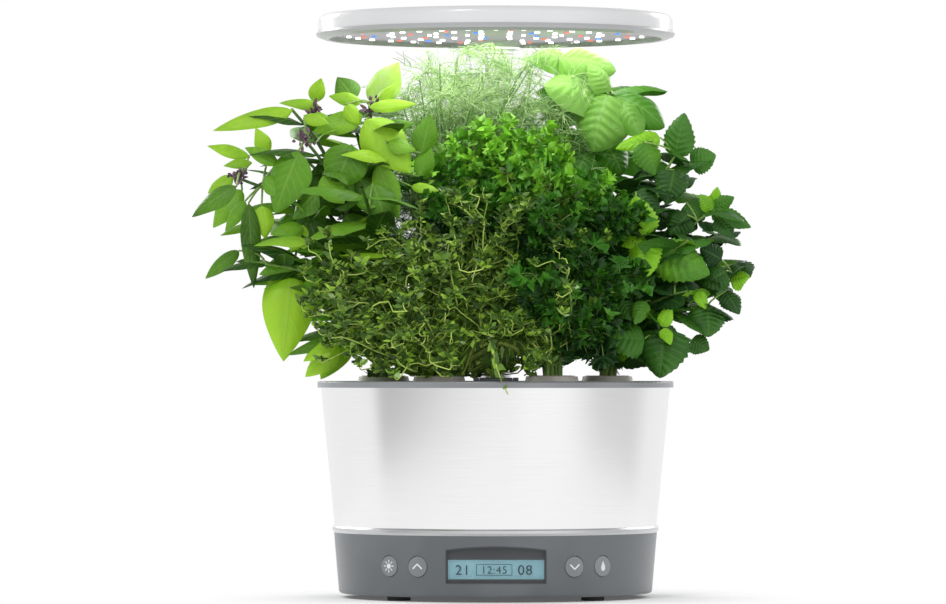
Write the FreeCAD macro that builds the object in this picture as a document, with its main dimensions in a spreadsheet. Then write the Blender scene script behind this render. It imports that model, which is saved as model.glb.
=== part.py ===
import FreeCAD, Part
import math
import os
from FreeCAD import Vector
import Sketcher

# Countertop hydroponic garden, in millimetres, +Z up.
# The origin is on the garden's axis, on the plane that the feet stand on.
# The display faces -Y, and the lamp's post stands at the rear, towards +Y.

os.makedirs("parts", exist_ok=True)
doc = FreeCAD.newDocument("HydroponicGarden")
sheet = doc.addObject("Spreadsheet::Sheet", "Sizes")

DRIVING = {
    # Base
    "foot_radius": 9.0, "foot_height": 3.5, "foot_offset": 75.0, "foot_screw_radius": 1.6,
    "base_bottom_radius": 123.0, "base_top_radius": 127.0, "base_height": 47.7,
    "base_wall": 2.5, "base_edge_round": 3.0, "floor_thickness": 2.5,
    "trim_height": 5.0, "trim_bead": 1.3,
    "fit_gap": 0.1, "panel_gap": 0.3, "running_gap": 0.05,
    # Display
    "window_width": 77.5, "window_bottom": 14.3, "window_side_top": 40.6, "window_arch": 2.8,
    "bezel_wall": 0.8, "bezel_plate": 2.0, "display_depth": 114.6,
    "lens_width": 74.0, "lens_height": 15.0, "lens_bottom": 17.7, "lens_thickness": 1.5,
    "lcd_thickness": 2.6, "lcd_margin": 2.5, "board_thickness": 1.6, "board_height": 30.0,
    # Buttons
    "button_radius": 8.0, "button_gap": 0.35, "button_level": 27.3, "button_proud": 0.6,
    "button_flange": 1.4, "button_flange_width": 1.2, "button_travel": 0.8,
    "outer_button_angle": 41.1, "inner_button_angle": 28.8, "button_stem_radius": 1.5,
    "switch_size": 6.0, "switch_depth": 3.5, "bracket_radius": 109.5, "bracket_wall": 2.5,
    "bracket_margin": 5.0,
    # Power inlet
    "jack_radius": 5.0, "jack_bore": 2.8, "jack_length": 14.0, "jack_level": 12.5,
    "lead_radius": 1.4, "lead_bow": 34.0,
    # Bowl
    "sleeve_height": 108.5, "sleeve_bottom_radius": 126.5, "sleeve_top_radius": 137.2,
    "sleeve_wall": 0.8, "tub_wall": 2.5, "tub_edge": 6.0, "rim_radius": 140.0, "rim_thickness": 5.0,
    "ledge_width": 5.6, "ledge_depth": 4.0, "deck_thickness": 2.5,
    # Pump
    "pump_offset": 40.0, "rotor_well_radius": 11.5, "rotor_well_depth": 18.0, "rotor_gap": 0.6,
    "pump_radius": 20.0, "pump_height": 28.0, "pump_wall": 2.0, "shaft_radius": 1.5,
    "blade_height": 11.0, "blade_width": 1.6, "spigot_radius": 4.0, "spigot_height": 8.0,
    "riser_wall": 1.5, "filter_thickness": 6.0, "stator_thickness": 11.0, "stator_height": 13.0,
    "manifold_radius": 46.0, "manifold_width": 12.0, "manifold_height": 6.0, "spoke_width": 6.0,
    # Water gauge
    "float_offset": 64.0, "rod_radius": 2.5, "rod_cap_radius": 5.0, "rod_cap_height": 2.0,
    "float_radius": 14.0, "float_height": 14.0, "rod_stand_off": 4.0,
    # Pods
    "pod_circle": 88.0, "pod_radius": 17.5, "pod_foot_radius": 13.0, "pod_depth": 52.0,
    "pod_wall": 1.2, "pod_collar_radius": 20.5, "pod_collar_height": 5.3, "pod_slot_width": 5.0,
    "label_thickness": 0.6, "label_hole": 9.0, "stem_radius": 5.0,
    # Fill port
    "port_offset": 109.0, "port_length": 26.0, "port_width": 20.0, "flap_margin": 2.5,
    "flap_thickness": 1.5, "hinge_radius": 1.0, "knuckle_radius": 2.2,
    # Lamp
    "post_offset": 106.0, "column_radius": 13.0, "column_wall": 1.5, "column_top": 270.0,
    "cap_height": 5.0, "cap_spigot": 12.0, "cap_rim": 1.6, "post_radius": 9.5, "post_wall": 1.2,
    "bush_height": 12.0, "post_tail": 4.0, "plug_radius": 9.0, "plug_drop": 8.0, "plug_height": 15.0,
    "lamp_clearance": 269.0, "bezel_radius": 141.4, "bezel_lip_radius": 135.0,
    "bezel_bore": 130.8, "bezel_height": 5.7, "panel_recess": 3.7, "shell_radius": 139.5,
    "shell_height": 13.1, "shell_wall": 2.0, "shell_round": 5.0, "led_board_thickness": 1.6,
    "led_size": 3.0, "led_height": 1.2, "collar_plate_radius": 20.5, "collar_plate_height": 6.5,
    "collar_neck_radius": 17.3, "collar_neck_height": 3.2, "boss_radius": 3.5,
    "boss_circle": 122.0, "screw_radius": 1.4, "screw_head_radius": 2.8, "screw_head_height": 1.6,
    "sink_radius": 92.0, "sink_plate": 1.5, "fin_height": 5.0, "fin_thickness": 1.2,
    # Herbs
    "leaf_thickness": 1.2, "herb_top": 430.0, "sector_gap": 0.6, "post_keep_out": 16.5,
}


class Size:
    """A length that carries its number and the sheet expression it comes from."""

    def __init__(self, number, text):
        self.number = float(number)
        self.text = text

    def __add__(self, other):
        other = size(other)
        return Size(self.number + other.number, f"({self.text} + {other.text})")

    def __sub__(self, other):
        other = size(other)
        return Size(self.number - other.number, f"({self.text} - {other.text})")

    def __mul__(self, other):
        other = size(other)
        return Size(self.number * other.number, f"({self.text} * {other.text})")

    def __truediv__(self, other):
        other = size(other)
        return Size(self.number / other.number, f"({self.text} / {other.text})")

    def __neg__(self):
        return Size(-self.number, f"(0 - {self.text})")

    def __radd__(self, other):
        return size(other) + self

    def __rsub__(self, other):
        return size(other) - self

    __rmul__ = __mul__


def size(value):
    """Turn a plain number into a Size, and leave a Size as it is."""
    return value if isinstance(value, Size) else Size(value, f"{float(value):.6f}")


def cosine(degrees):
    degrees = size(degrees)
    return Size(math.cos(math.radians(degrees.number)), f"cos({degrees.text})")


def sine(degrees):
    degrees = size(degrees)
    return Size(math.sin(math.radians(degrees.number)), f"sin({degrees.text})")


def arcsine(share):
    return Size(math.degrees(math.asin(share.number)), f"(asin({share.text}) / 1 deg)")


class Driving:
    """The sheet's cells, read by name."""

    def __init__(self, table):
        for row, (name, value) in enumerate(table.items(), start=1):
            sheet.set(f"A{row}", name)
            sheet.set(f"B{row}", str(value))
            sheet.setAlias(f"B{row}", name)
        doc.recompute()

    def __getattr__(self, name):
        return Size(sheet.get(name), f"Sizes.{name}")


S = Driving(DRIVING)


# Binding and placing

def bind(thing, field, value):
    value = size(value)
    setattr(thing, field, value.number)
    thing.setExpression(field, value.text)


def place(thing, x=0, y=0, z=0, turn=0, tip=0):
    """Move a piece, after tipping it about X and turning it about Z."""
    x, y, z, turn, tip = size(x), size(y), size(z), size(turn), size(tip)
    thing.setExpression("Placement", f"create(<<placement>>; create(<<vector>>; {x.text}; {y.text}; "
                        f"{z.text}); create(<<rotation>>; {turn.text}; 0; {tip.text}))")
    return thing


# Solids

def add(kind, name):
    thing = doc.addObject(kind, name)
    thing.Label = name
    return thing


def cylinder(name, radius, height, x=0, y=0, z=0, turn=0, tip=0):
    rod = add("Part::Cylinder", name)
    bind(rod, "Radius", radius)
    bind(rod, "Height", height)
    return place(rod, x, y, z, turn, tip)


def cone(name, low_radius, high_radius, height, x=0, y=0, z=0):
    taper = add("Part::Cone", name)
    bind(taper, "Radius1", low_radius)
    bind(taper, "Radius2", high_radius)
    bind(taper, "Height", height)
    return place(taper, x, y, z)


def block(name, length, width, height, centre, turn=0):
    """A box centred on a point in plan, standing on the point's height, turned about its centre."""
    slab = add("Part::Box", name)
    bind(slab, "Length", length)
    bind(slab, "Width", width)
    bind(slab, "Height", height)
    x, y, z = centre
    half_length = size(length) / 2
    half_width = size(width) / 2
    corner_x = x - (half_length * cosine(turn) - half_width * sine(turn))
    corner_y = y - (half_length * sine(turn) + half_width * cosine(turn))
    return place(slab, corner_x, corner_y, z, turn)


def cut(name, base, *tools):
    """Take one or more tools away from a base."""
    tool = tools[0] if len(tools) == 1 else fuse(name + "_tools", *tools)
    result = add("Part::Cut", name)
    result.Base = base
    result.Tool = tool
    return result


def fuse(name, *pieces):
    result = add("Part::MultiFuse", name)
    result.Shapes = list(pieces)
    return result


def common(name, *pieces):
    result = add("Part::MultiCommon", name)
    result.Shapes = list(pieces)
    return result


def group(name, pieces):
    """Keep several separate solids together under one name."""
    result = add("Part::Compound", name)
    result.Links = list(pieces)
    return result


def plane_of(body, role):
    return [feature for feature in body.Origin.OriginFeatures if feature.Role == role][0]


def outline(body, role, points):
    """Sketch a closed outline of straight runs, each corner bound to its two sizes."""
    sketch = body.newObject("Sketcher::SketchObject", body.Name + "Outline")
    sketch.AttachmentSupport = [(plane_of(body, role), "")]
    sketch.MapMode = "FlatFace"
    corners = [(size(a), size(b)) for a, b in points]
    for (a, b), (c, d) in zip(corners, corners[1:] + corners[:1]):
        start = Vector(a.number, b.number, 0)
        end = Vector(c.number, d.number, 0)
        sketch.addGeometry(Part.LineSegment(start, end), False)
    for index in range(len(corners)):
        sketch.addConstraint(Sketcher.Constraint("Coincident", index, 2, (index + 1) % len(corners), 1))
    for index, (a, b) in enumerate(corners):
        for kind, axis, value in (("DistanceX", -2, a), ("DistanceY", -1, b)):
            if value.number == 0.0:
                sketch.addConstraint(Sketcher.Constraint("PointOnObject", index, 1, axis))
                continue
            number = sketch.addConstraint(Sketcher.Constraint(kind, -1, 1, index, 1, value.number))
            sketch.setExpression(f"Constraints[{number}]", value.text)
    return sketch


def turned(name, points):
    """Turn an outline of radius and height about the body's own axis."""
    body = add("PartDesign::Body", name)
    sketch = outline(body, "XZ_Plane", points)
    revolution = body.newObject("PartDesign::Revolution", name + "Turn")
    revolution.Profile = sketch
    revolution.ReferenceAxis = (sketch, ["V_Axis"])
    revolution.Angle = 360.0
    sketch.Visibility = False
    return body


def rounded(body, radius, *levels):
    """Round the outermost edge of a turned body at each given height."""
    doc.recompute()
    base = body.Tip
    names = []
    for level in levels:
        rings = [(edge.BoundBox.XMax, f"Edge{number}") for number, edge in enumerate(base.Shape.Edges, 1)
                 if abs(edge.BoundBox.ZMin - level.number) < 1e-4
                 and abs(edge.BoundBox.ZMax - level.number) < 1e-4]
        names.append(max(rings)[1])
    fillet = body.newObject("PartDesign::Fillet", body.Name + "Round")
    fillet.Base = (base, names)
    bind(fillet, "Radius", radius)
    return body


def pipe(name, outer, inner, low, high, x=0, y=0):
    """A straight tube standing from one height to another."""
    return place(turned(name, [(inner, low), (outer, low), (outer, high), (inner, high)]), x, y)


# Heights and radii that follow from the driving sizes

BASE_LOW = S.foot_height
BASE_HIGH = BASE_LOW + S.base_height
TRIM_HIGH = BASE_HIGH + S.trim_height
SLEEVE_HIGH = TRIM_HIGH + S.sleeve_height
RIM_HIGH = SLEEVE_HIGH + S.rim_thickness
FLOOR_HIGH = BASE_LOW + S.floor_thickness
SEAT_LOW = BASE_HIGH - S.floor_thickness
DECK_LOW = RIM_HIGH - S.ledge_depth
DECK_HIGH = DECK_LOW + S.deck_thickness
POD_HIGH = DECK_HIGH + S.pod_collar_height
TUB_FLOOR = BASE_HIGH + S.tub_wall
BEZEL_LOW = RIM_HIGH + S.lamp_clearance
PANEL = BEZEL_LOW + S.panel_recess
SHELL_LOW = BEZEL_LOW + S.bezel_height
SHELL_HIGH = SHELL_LOW + S.shell_height
BOARD_HIGH = PANEL + S.led_board_thickness
BASE_LEAN = (S.base_top_radius - S.base_bottom_radius) / S.base_height
SLEEVE_LEAN = (S.sleeve_top_radius - S.sleeve_bottom_radius) / S.sleeve_height
TUB_GAP = S.sleeve_wall + S.panel_gap
TUB_TOP_RADIUS = S.sleeve_top_radius - TUB_GAP
TUB_BOTTOM_RADIUS = S.sleeve_bottom_radius - TUB_GAP - SLEEVE_LEAN * S.trim_height
WELL_RADIUS = S.column_radius + S.fit_gap + S.tub_wall
BUTTON_FACE = S.base_bottom_radius + BASE_LEAN * (S.button_level - BASE_LOW) + S.button_proud
DISPLAY_FACE = -S.display_depth
POD_ANGLES = [60 * number for number in range(6)]


def around(radius, degrees):
    """The plan position at a radius, at an angle counted from +X towards +Y."""
    return size(radius) * cosine(degrees), size(radius) * sine(degrees)


# Base

def window_profile(name, wall, front, back):
    """The display window's arched outline, drawn out along Y from back to front."""
    half = S.window_width / 2 - wall
    low = S.window_bottom + wall
    side = S.window_side_top - wall
    crown = S.window_side_top + S.window_arch - wall
    body = add("PartDesign::Body", name)
    sketch = body.newObject("Sketcher::SketchObject", name + "Outline")
    sketch.AttachmentSupport = [(plane_of(body, "XZ_Plane"), "")]
    sketch.MapMode = "FlatFace"
    corners = [(-half, low), (half, low), (half, side), (-half, side)]
    points = [Vector(a.number, b.number, 0) for a, b in corners]
    sketch.addGeometry(Part.LineSegment(points[3], points[0]), False)
    sketch.addGeometry(Part.LineSegment(points[0], points[1]), False)
    sketch.addGeometry(Part.LineSegment(points[1], points[2]), False)
    top = Vector(0, crown.number, 0)
    sketch.addGeometry(Part.Arc(points[2], top, points[3]), False)
    sketch.addConstraint(Sketcher.Constraint("Coincident", 0, 2, 1, 1))
    sketch.addConstraint(Sketcher.Constraint("Coincident", 1, 2, 2, 1))
    sketch.addConstraint(Sketcher.Constraint("Coincident", 2, 2, 3, 1))
    sketch.addConstraint(Sketcher.Constraint("Coincident", 3, 2, 0, 1))
    rise = crown - side
    arc_radius = (half * half + rise * rise) / (rise * 2)
    bound = [("DistanceX", 1, 1, -half), ("DistanceY", 1, 1, low), ("DistanceX", 1, 2, half),
             ("DistanceY", 1, 2, low), ("DistanceX", 2, 2, half), ("DistanceY", 2, 2, side),
             ("DistanceX", 3, 2, -half), ("DistanceY", 3, 2, side)]
    for kind, line, end, value in bound:
        number = sketch.addConstraint(Sketcher.Constraint(kind, -1, 1, line, end, value.number))
        sketch.setExpression(f"Constraints[{number}]", value.text)
    number = sketch.addConstraint(Sketcher.Constraint("Radius", 3, arc_radius.number))
    sketch.setExpression(f"Constraints[{number}]", arc_radius.text)
    pad = body.newObject("PartDesign::Pad", name + "Pad")
    pad.Profile = sketch
    bind(pad, "Length", size(back) - size(front))
    sketch.Visibility = False
    return place(body, y=back)


def base_solid(name, shrink):
    """The base's outer form, filled, shrunk by a gap."""
    return turned(name, [(0, BASE_LOW), (S.base_bottom_radius - shrink, BASE_LOW),
                         (S.base_top_radius - shrink, BASE_HIGH), (0, BASE_HIGH)])


def button_bore(name, angle):
    """The hole through the base's wall that a button slides in."""
    return cylinder(name, S.button_radius + S.button_gap, S.base_wall * 6,
                    (BUTTON_FACE - S.base_wall * 4) * sine(angle),
                    -(BUTTON_FACE - S.base_wall * 4) * cosine(angle), S.button_level, angle, 90)


BUTTONS = {
    "light": -S.outer_button_angle,
    "up": -S.inner_button_angle,
    "down": S.inner_button_angle,
    "feed": S.outer_button_angle,
}


def base_housing():
    """The grey side wall of the base, with its window, button holes and inlet hole."""
    inner_low = S.base_bottom_radius - S.base_wall
    inner_high = S.base_top_radius - S.base_wall
    wall = turned("housing_wall", [(inner_low, BASE_LOW), (S.base_bottom_radius, BASE_LOW),
                                   (S.base_top_radius, BASE_HIGH), (inner_high, BASE_HIGH)])
    rounded(wall, S.base_edge_round - S.base_wall / 4, BASE_LOW)
    window = window_profile("housing_window", 0, -S.base_top_radius - S.base_wall, DISPLAY_FACE + 12)
    bores = [button_bore(f"housing_bore_{name}", angle) for name, angle in BUTTONS.items()]
    inlet = cylinder("housing_inlet", S.jack_radius + S.fit_gap, S.jack_length * 2, 0,
                     S.base_bottom_radius + S.jack_length, S.jack_level, 0, 90)
    return cut("base_housing", wall, window, inlet, *bores)


def base_floor():
    """The plate that closes the base from below, with the holes of the foot screws."""
    plate = cylinder("floor_plate", S.base_bottom_radius - S.base_wall - S.fit_gap, S.floor_thickness,
                     z=BASE_LOW)
    holes = [cylinder(f"floor_hole_{number}", S.foot_screw_radius + S.fit_gap, S.floor_thickness,
                      x, y, BASE_LOW) for number, (x, y) in enumerate(foot_places())]
    return cut("base_floor", plate, *holes)


def foot_places():
    return [(S.foot_offset * a, S.foot_offset * b) for a in (-1, 1) for b in (-1, 1)]


def feet():
    pads = []
    for number, (x, y) in enumerate(foot_places()):
        pad = cylinder(f"foot_pad_{number}", S.foot_radius, S.foot_height, x, y)
        sink = cylinder(f"foot_sink_{number}", S.foot_screw_radius + S.fit_gap, S.foot_height, x, y)
        recess = cylinder(f"foot_recess_{number}", S.screw_head_radius + S.fit_gap,
                          S.foot_height / 2, x, y)
        pads.append(cut(f"foot_{number}", pad, sink, recess))
    return group("feet", pads)


def foot_screws():
    screws = []
    for number, (x, y) in enumerate(foot_places()):
        shank = cylinder(f"foot_shank_{number}", S.foot_screw_radius, FLOOR_HIGH - S.foot_height / 2, x, y,
                         S.foot_height / 2)
        head = cylinder(f"foot_head_{number}", S.screw_head_radius, S.foot_height / 4, x, y,
                        S.foot_height / 4)
        screws.append(fuse(f"foot_screw_{number}", shank, head))
    return group("foot_screws", screws)


def trim_ring():
    """The bright ring between the base and the steel sleeve, with a rounded bead."""
    inner = TUB_BOTTOM_RADIUS + SLEEVE_LEAN * S.trim_height + S.panel_gap
    outer = S.base_top_radius
    bulge = outer + S.trim_bead
    return turned("trim_ring", [(inner, BASE_HIGH), (outer, BASE_HIGH),
                                (bulge, BASE_HIGH + S.trim_height * 0.36),
                                (bulge, BASE_HIGH + S.trim_height * 0.8),
                                (outer + S.trim_bead / 3, TRIM_HIGH), (inner, TRIM_HIGH)])


def bowl_seat():
    """The base's top plate, with a cup for the pump's rotor well and a hole for the lamp's plug."""
    radius = S.base_top_radius - S.base_wall - BASE_LEAN * S.floor_thickness - S.fit_gap
    plate = cylinder("seat_plate", radius, S.floor_thickness, z=SEAT_LOW)
    well = S.rotor_well_radius + S.tub_wall + S.panel_gap
    cup_low = BASE_HIGH - S.rotor_well_depth - S.tub_wall - S.panel_gap - S.pump_wall
    cup = cylinder("seat_cup", well + S.pump_wall, BASE_HIGH - cup_low, 0, S.pump_offset, cup_low)
    hollow = cylinder("seat_hollow", well, BASE_HIGH - cup_low, 0, S.pump_offset, cup_low + S.pump_wall)
    socket = cylinder("seat_socket", S.plug_radius + S.panel_gap, S.floor_thickness, 0, S.post_offset,
                      SEAT_LOW)
    return cut("bowl_seat", fuse("seat_form", plate, cup), hollow, socket)


def display_bezel():
    """The dark tray that frames the display, flush with the base's curved face."""
    back = DISPLAY_FACE + S.bezel_plate
    tray = window_profile("bezel_tray", S.fit_gap, -S.base_top_radius - S.base_wall, back)
    form = common("bezel_form", tray, base_solid("bezel_skin", S.panel_gap))
    pocket = window_profile("bezel_pocket", S.bezel_wall, -S.base_top_radius - S.base_wall * 2,
                            DISPLAY_FACE)
    hole = block("bezel_hole", S.lens_width, S.bezel_plate * 2, S.lens_height,
                 (size(0), back, S.lens_bottom))
    return cut("display_bezel", form, pocket, hole)


def display_lens():
    return block("display_lens", S.lens_width - S.fit_gap * 2, S.lens_thickness, S.lens_height
                 - S.fit_gap * 2, (size(0), DISPLAY_FACE + S.bezel_plate - S.lens_thickness / 2,
                                   S.lens_bottom + S.fit_gap))


def lcd_panel():
    return block("lcd_panel", S.lens_width + S.lcd_margin, S.lcd_thickness, S.lens_height + S.lcd_margin,
                 (size(0), DISPLAY_FACE + S.bezel_plate + S.lcd_thickness / 2,
                  S.lens_bottom - S.lcd_margin / 2))


def control_board():
    front = DISPLAY_FACE + S.bezel_plate + S.lcd_thickness
    return block("control_board", S.lens_width + S.lcd_margin * 4, S.board_thickness, S.board_height,
                 (size(0), front + S.board_thickness / 2, FLOOR_HIGH))


def button_brackets():
    """Two curved strips that stand on the floor plate and carry the button switches."""
    strips = []
    low = S.inner_button_angle - S.bracket_margin
    sweep = S.outer_button_angle - S.inner_button_angle + S.bracket_margin * 2
    height = S.button_level + S.switch_size - FLOOR_HIGH
    for side, start in (("left", -S.outer_button_angle - S.bracket_margin), ("right", low)):
        solid = cylinder(f"bracket_{side}_solid", S.bracket_radius, height, z=FLOOR_HIGH, turn=start - 90)
        hollow = cylinder(f"bracket_{side}_hollow", S.bracket_radius - S.bracket_wall, height,
                          z=FLOOR_HIGH, turn=start - 90)
        bind(solid, "Angle", sweep)
        strips.append(cut(f"bracket_{side}", solid, hollow))
    return group("button_brackets", strips)


def button_switches():
    switches = []
    for name, angle in BUTTONS.items():
        middle = S.bracket_radius + S.switch_depth / 2
        case = block(f"switch_case_{name}", S.switch_size, S.switch_depth, S.switch_size,
                     (middle * sine(angle), -middle * cosine(angle), S.button_level - S.switch_size / 2),
                     angle)
        bore_start = S.bracket_radius + S.switch_depth
        bore = cylinder(f"switch_bore_{name}", S.button_stem_radius + S.fit_gap, S.button_travel * 3,
                        (bore_start - S.button_travel * 3) * sine(angle),
                        -(bore_start - S.button_travel * 3) * cosine(angle), S.button_level, angle, 90)
        switches.append(cut(f"switch_{name}", case, bore))
    return group("button_switches", switches)


def button(name, angle):
    """A round push button: a cap, a flange that keeps it in, and a stem that enters its switch."""
    stem_end = S.bracket_radius + S.switch_depth - S.button_travel / 2
    wall_inside = BUTTON_FACE - S.button_proud - S.base_wall
    flange_out = wall_inside - S.button_flange
    flange_in = flange_out - S.button_flange_width
    flange_radius = S.button_radius + S.button_flange
    cap = turned(f"button_{name}", [
        (0, stem_end), (S.button_stem_radius, stem_end), (S.button_stem_radius, flange_in),
        (flange_radius, flange_in), (flange_radius, flange_out), (S.button_radius, flange_out),
        (S.button_radius, BUTTON_FACE), (0, BUTTON_FACE)])
    rounded(cap, S.button_proud, BUTTON_FACE)
    return place(cap, z=S.button_level, turn=angle, tip=90)


def jack_face():
    """How far behind the axis the base's wall stands at the inlet's height."""
    return S.base_bottom_radius + BASE_LEAN * (S.jack_level - BASE_LOW)


def power_jack():
    """The round inlet at the rear that takes the power supply's plug."""
    body = turned("power_jack", [
        (0, 0), (S.jack_radius, 0), (S.jack_radius, S.jack_length), (S.jack_bore, S.jack_length),
        (S.jack_bore, S.jack_length / 4), (S.jack_bore / 3, S.jack_length / 4),
        (S.jack_bore / 3, S.jack_length * 0.9), (0, S.jack_length * 0.9)])
    return place(body, y=jack_face() - S.jack_length, z=S.jack_level, turn=180, tip=90)


def jack_cradle():
    """The rib on the floor plate that holds the inlet."""
    middle = jack_face() - S.jack_length * 0.6
    rib = block("cradle_rib", S.jack_radius * 3, S.jack_length * 0.4, S.jack_level - FLOOR_HIGH,
                (size(0), middle, FLOOR_HIGH))
    seat = cylinder("cradle_seat", S.jack_radius + S.fit_gap, S.jack_length, 0, jack_face(), S.jack_level,
                    0, 90)
    return cut("jack_cradle", rib, seat)


def power_lead():
    """The lead inside the base, which bows from the inlet's back to the control board."""
    rear = jack_face() - S.jack_length
    front = -(S.display_depth - S.bezel_plate - S.lcd_thickness - S.board_thickness)
    half = (rear - front) / 2 - S.lead_radius * 0.65
    radius = (half * half + S.lead_bow * S.lead_bow) / (S.lead_bow * 2)
    half_turn = arcsine(half / radius)
    ring = add("Part::Torus", "power_lead")
    bind(ring, "Radius1", radius)
    bind(ring, "Radius2", S.lead_radius)
    bind(ring, "Angle3", half_turn * 2)
    return place(ring, S.lead_bow - radius, (rear + front) / 2, S.jack_level, -half_turn)


def pump_stator():
    """The coil under the bowl seat that turns the pump's rotor through its cup."""
    inner = S.rotor_well_radius + S.tub_wall + S.panel_gap + S.pump_wall + S.panel_gap
    return pipe("pump_stator", inner + S.stator_thickness, inner, SEAT_LOW - S.stator_height, SEAT_LOW,
                0, S.pump_offset)


def lamp_socket():
    """The contact block under the seat that the lamp's plug drops into."""
    radius = S.plug_radius + S.panel_gap
    depth = S.plug_drop + S.floor_thickness
    case = cylinder("socket_case", radius + S.pump_wall, depth, 0, S.post_offset, SEAT_LOW - depth)
    bore = cylinder("socket_bore", radius, depth, 0, S.post_offset, SEAT_LOW - depth + S.floor_thickness)
    return cut("lamp_socket", case, bore)


# Bowl

def tub_radius(level):
    """The bowl's outer radius at a height, a gap inside the leaning sleeve."""
    return TUB_TOP_RADIUS - SLEEVE_LEAN * (SLEEVE_HIGH - size(level))


def reservoir():
    """The moulded water bowl with its rim, deck ledge, dry post well and rotor well."""
    ledge_low = DECK_LOW - S.ledge_width
    taper_low = ledge_low - S.ledge_width
    opening = TUB_TOP_RADIUS - S.tub_wall
    tub = turned("tub_form", [
        (0, BASE_HIGH), (TUB_BOTTOM_RADIUS - S.tub_edge, BASE_HIGH),
        (tub_radius(BASE_HIGH + S.tub_edge), BASE_HIGH + S.tub_edge), (TUB_TOP_RADIUS, SLEEVE_HIGH),
        (S.rim_radius, SLEEVE_HIGH), (S.rim_radius, RIM_HIGH), (opening, RIM_HIGH),
        (opening, DECK_LOW), (opening - S.ledge_width / 2, DECK_LOW),
        (opening - S.ledge_width / 2, ledge_low), (tub_radius(taper_low) - S.tub_wall, taper_low),
        (tub_radius(BASE_HIGH + S.tub_edge) - S.tub_wall, BASE_HIGH + S.tub_edge),
        (TUB_BOTTOM_RADIUS - S.tub_edge - S.tub_wall / 2, TUB_FLOOR), (0, TUB_FLOOR)])
    rounded(tub, S.rim_thickness / 4, RIM_HIGH)
    well = cylinder("tub_post_well", WELL_RADIUS, DECK_LOW - BASE_HIGH, 0, S.post_offset, BASE_HIGH)
    rotor_depth = S.rotor_well_depth + S.tub_wall
    rotor = cylinder("tub_rotor_well", S.rotor_well_radius + S.tub_wall, rotor_depth + S.tub_wall, 0,
                     S.pump_offset, BASE_HIGH - rotor_depth)
    socket = cylinder("tub_column_bore", S.column_radius + S.fit_gap, DECK_LOW, 0, S.post_offset,
                      TUB_FLOOR)
    plug = cylinder("tub_plug_bore", S.plug_radius + S.fit_gap, S.tub_wall, 0, S.post_offset, BASE_HIGH)
    hollow = cylinder("tub_rotor_bore", S.rotor_well_radius, rotor_depth, 0, S.pump_offset,
                      TUB_FLOOR - rotor_depth)
    return cut("reservoir", fuse("tub_walls", tub, well, rotor), socket, plug, hollow)


def steel_sleeve():
    """The brushed steel band round the bowl."""
    low_in = S.sleeve_bottom_radius - S.sleeve_wall
    high_in = S.sleeve_top_radius - S.sleeve_wall
    return turned("steel_sleeve", [(low_in, TRIM_HIGH), (S.sleeve_bottom_radius, TRIM_HIGH),
                                   (S.sleeve_top_radius, SLEEVE_HIGH), (high_in, SLEEVE_HIGH)])


def pump_body():
    """The pump's domed cover over the impeller, with inlet slots and an outlet spigot."""
    inside = S.pump_radius - S.pump_wall
    chamber = TUB_FLOOR + S.blade_height + S.pump_wall * 2
    top = TUB_FLOOR + S.pump_height
    bore = S.spigot_radius - S.pump_wall / 2
    cover = turned("pump_cover", [
        (inside, TUB_FLOOR), (S.pump_radius, TUB_FLOOR), (S.pump_radius, top - S.pump_wall * 2),
        (S.pump_radius - S.pump_wall * 2, top), (S.spigot_radius, top),
        (S.spigot_radius, top + S.spigot_height), (bore, top + S.spigot_height), (bore, chamber),
        (inside, chamber)])
    place(cover, y=S.pump_offset)
    slots = [block(f"pump_slot_{angle}", S.pump_radius * 3, S.pump_wall * 1.5, S.blade_height * 0.6,
                   (size(0), S.pump_offset, TUB_FLOOR + S.pump_wall), angle) for angle in (0, 60, 120)]
    return cut("pump_body", cover, *slots)


def impeller():
    """The pump's magnet rotor with four blades, running on the shaft."""
    low = TUB_FLOOR - S.rotor_well_depth - S.tub_wall + S.panel_gap * 2
    middle = TUB_FLOOR + S.panel_gap * 2
    magnet = cylinder("impeller_magnet", S.rotor_well_radius - S.rotor_gap, middle - low, 0,
                      S.pump_offset, low)
    span = (S.pump_radius - S.pump_wall - S.rotor_gap * 2) * 1.9
    blades = [block(f"impeller_blade_{angle}", span, S.blade_width, S.blade_height,
                    (size(0), S.pump_offset, middle), angle) for angle in (45, 135)]
    bore = cylinder("impeller_bore", S.shaft_radius + S.running_gap, S.pump_height + S.rotor_well_depth, 0,
                    S.pump_offset, low)
    return cut("impeller", fuse("impeller_form", magnet, *blades), bore)


def pump_shaft():
    low = TUB_FLOOR - S.rotor_well_depth - S.tub_wall
    high = TUB_FLOOR + S.blade_height + S.pump_wall
    return cylinder("pump_shaft", S.shaft_radius, high - low, 0, S.pump_offset, low)


def intake_filter():
    inner = S.pump_radius + S.fit_gap
    return pipe("intake_filter", inner + S.filter_thickness, inner, TUB_FLOOR, TUB_FLOOR
                + S.pump_height * 0.8, 0, S.pump_offset)


def riser_tube():
    """The tube from the pump's outlet up to the ring of channels under the deck."""
    inner = S.spigot_radius + S.fit_gap
    low = TUB_FLOOR + S.pump_height
    return pipe("riser_tube", inner + S.riser_wall, inner, low, DECK_LOW - S.manifold_height, 0,
                S.pump_offset)


def deck_manifold():
    """The ring of water channels under the deck, with a spoke to each pod."""
    low = DECK_LOW - S.manifold_height
    ring = pipe("manifold_ring", S.manifold_radius, S.manifold_radius - S.manifold_width, low, DECK_LOW)
    reach = S.pod_circle - S.pod_radius - 2 - S.manifold_radius + S.manifold_width / 2
    middle = S.manifold_radius - S.manifold_width / 2 + reach / 2
    spokes = []
    for angle in POD_ANGLES:
        x, y = around(middle, angle)
        spokes.append(block(f"manifold_spoke_{angle}", reach, S.spoke_width, S.manifold_height,
                            (x, y, low), angle))
    bore = cylinder("manifold_bore", S.spigot_radius, S.manifold_height / 2, 0, S.pump_offset, low)
    return cut("deck_manifold", fuse("manifold_form", ring, *spokes), bore)


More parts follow.
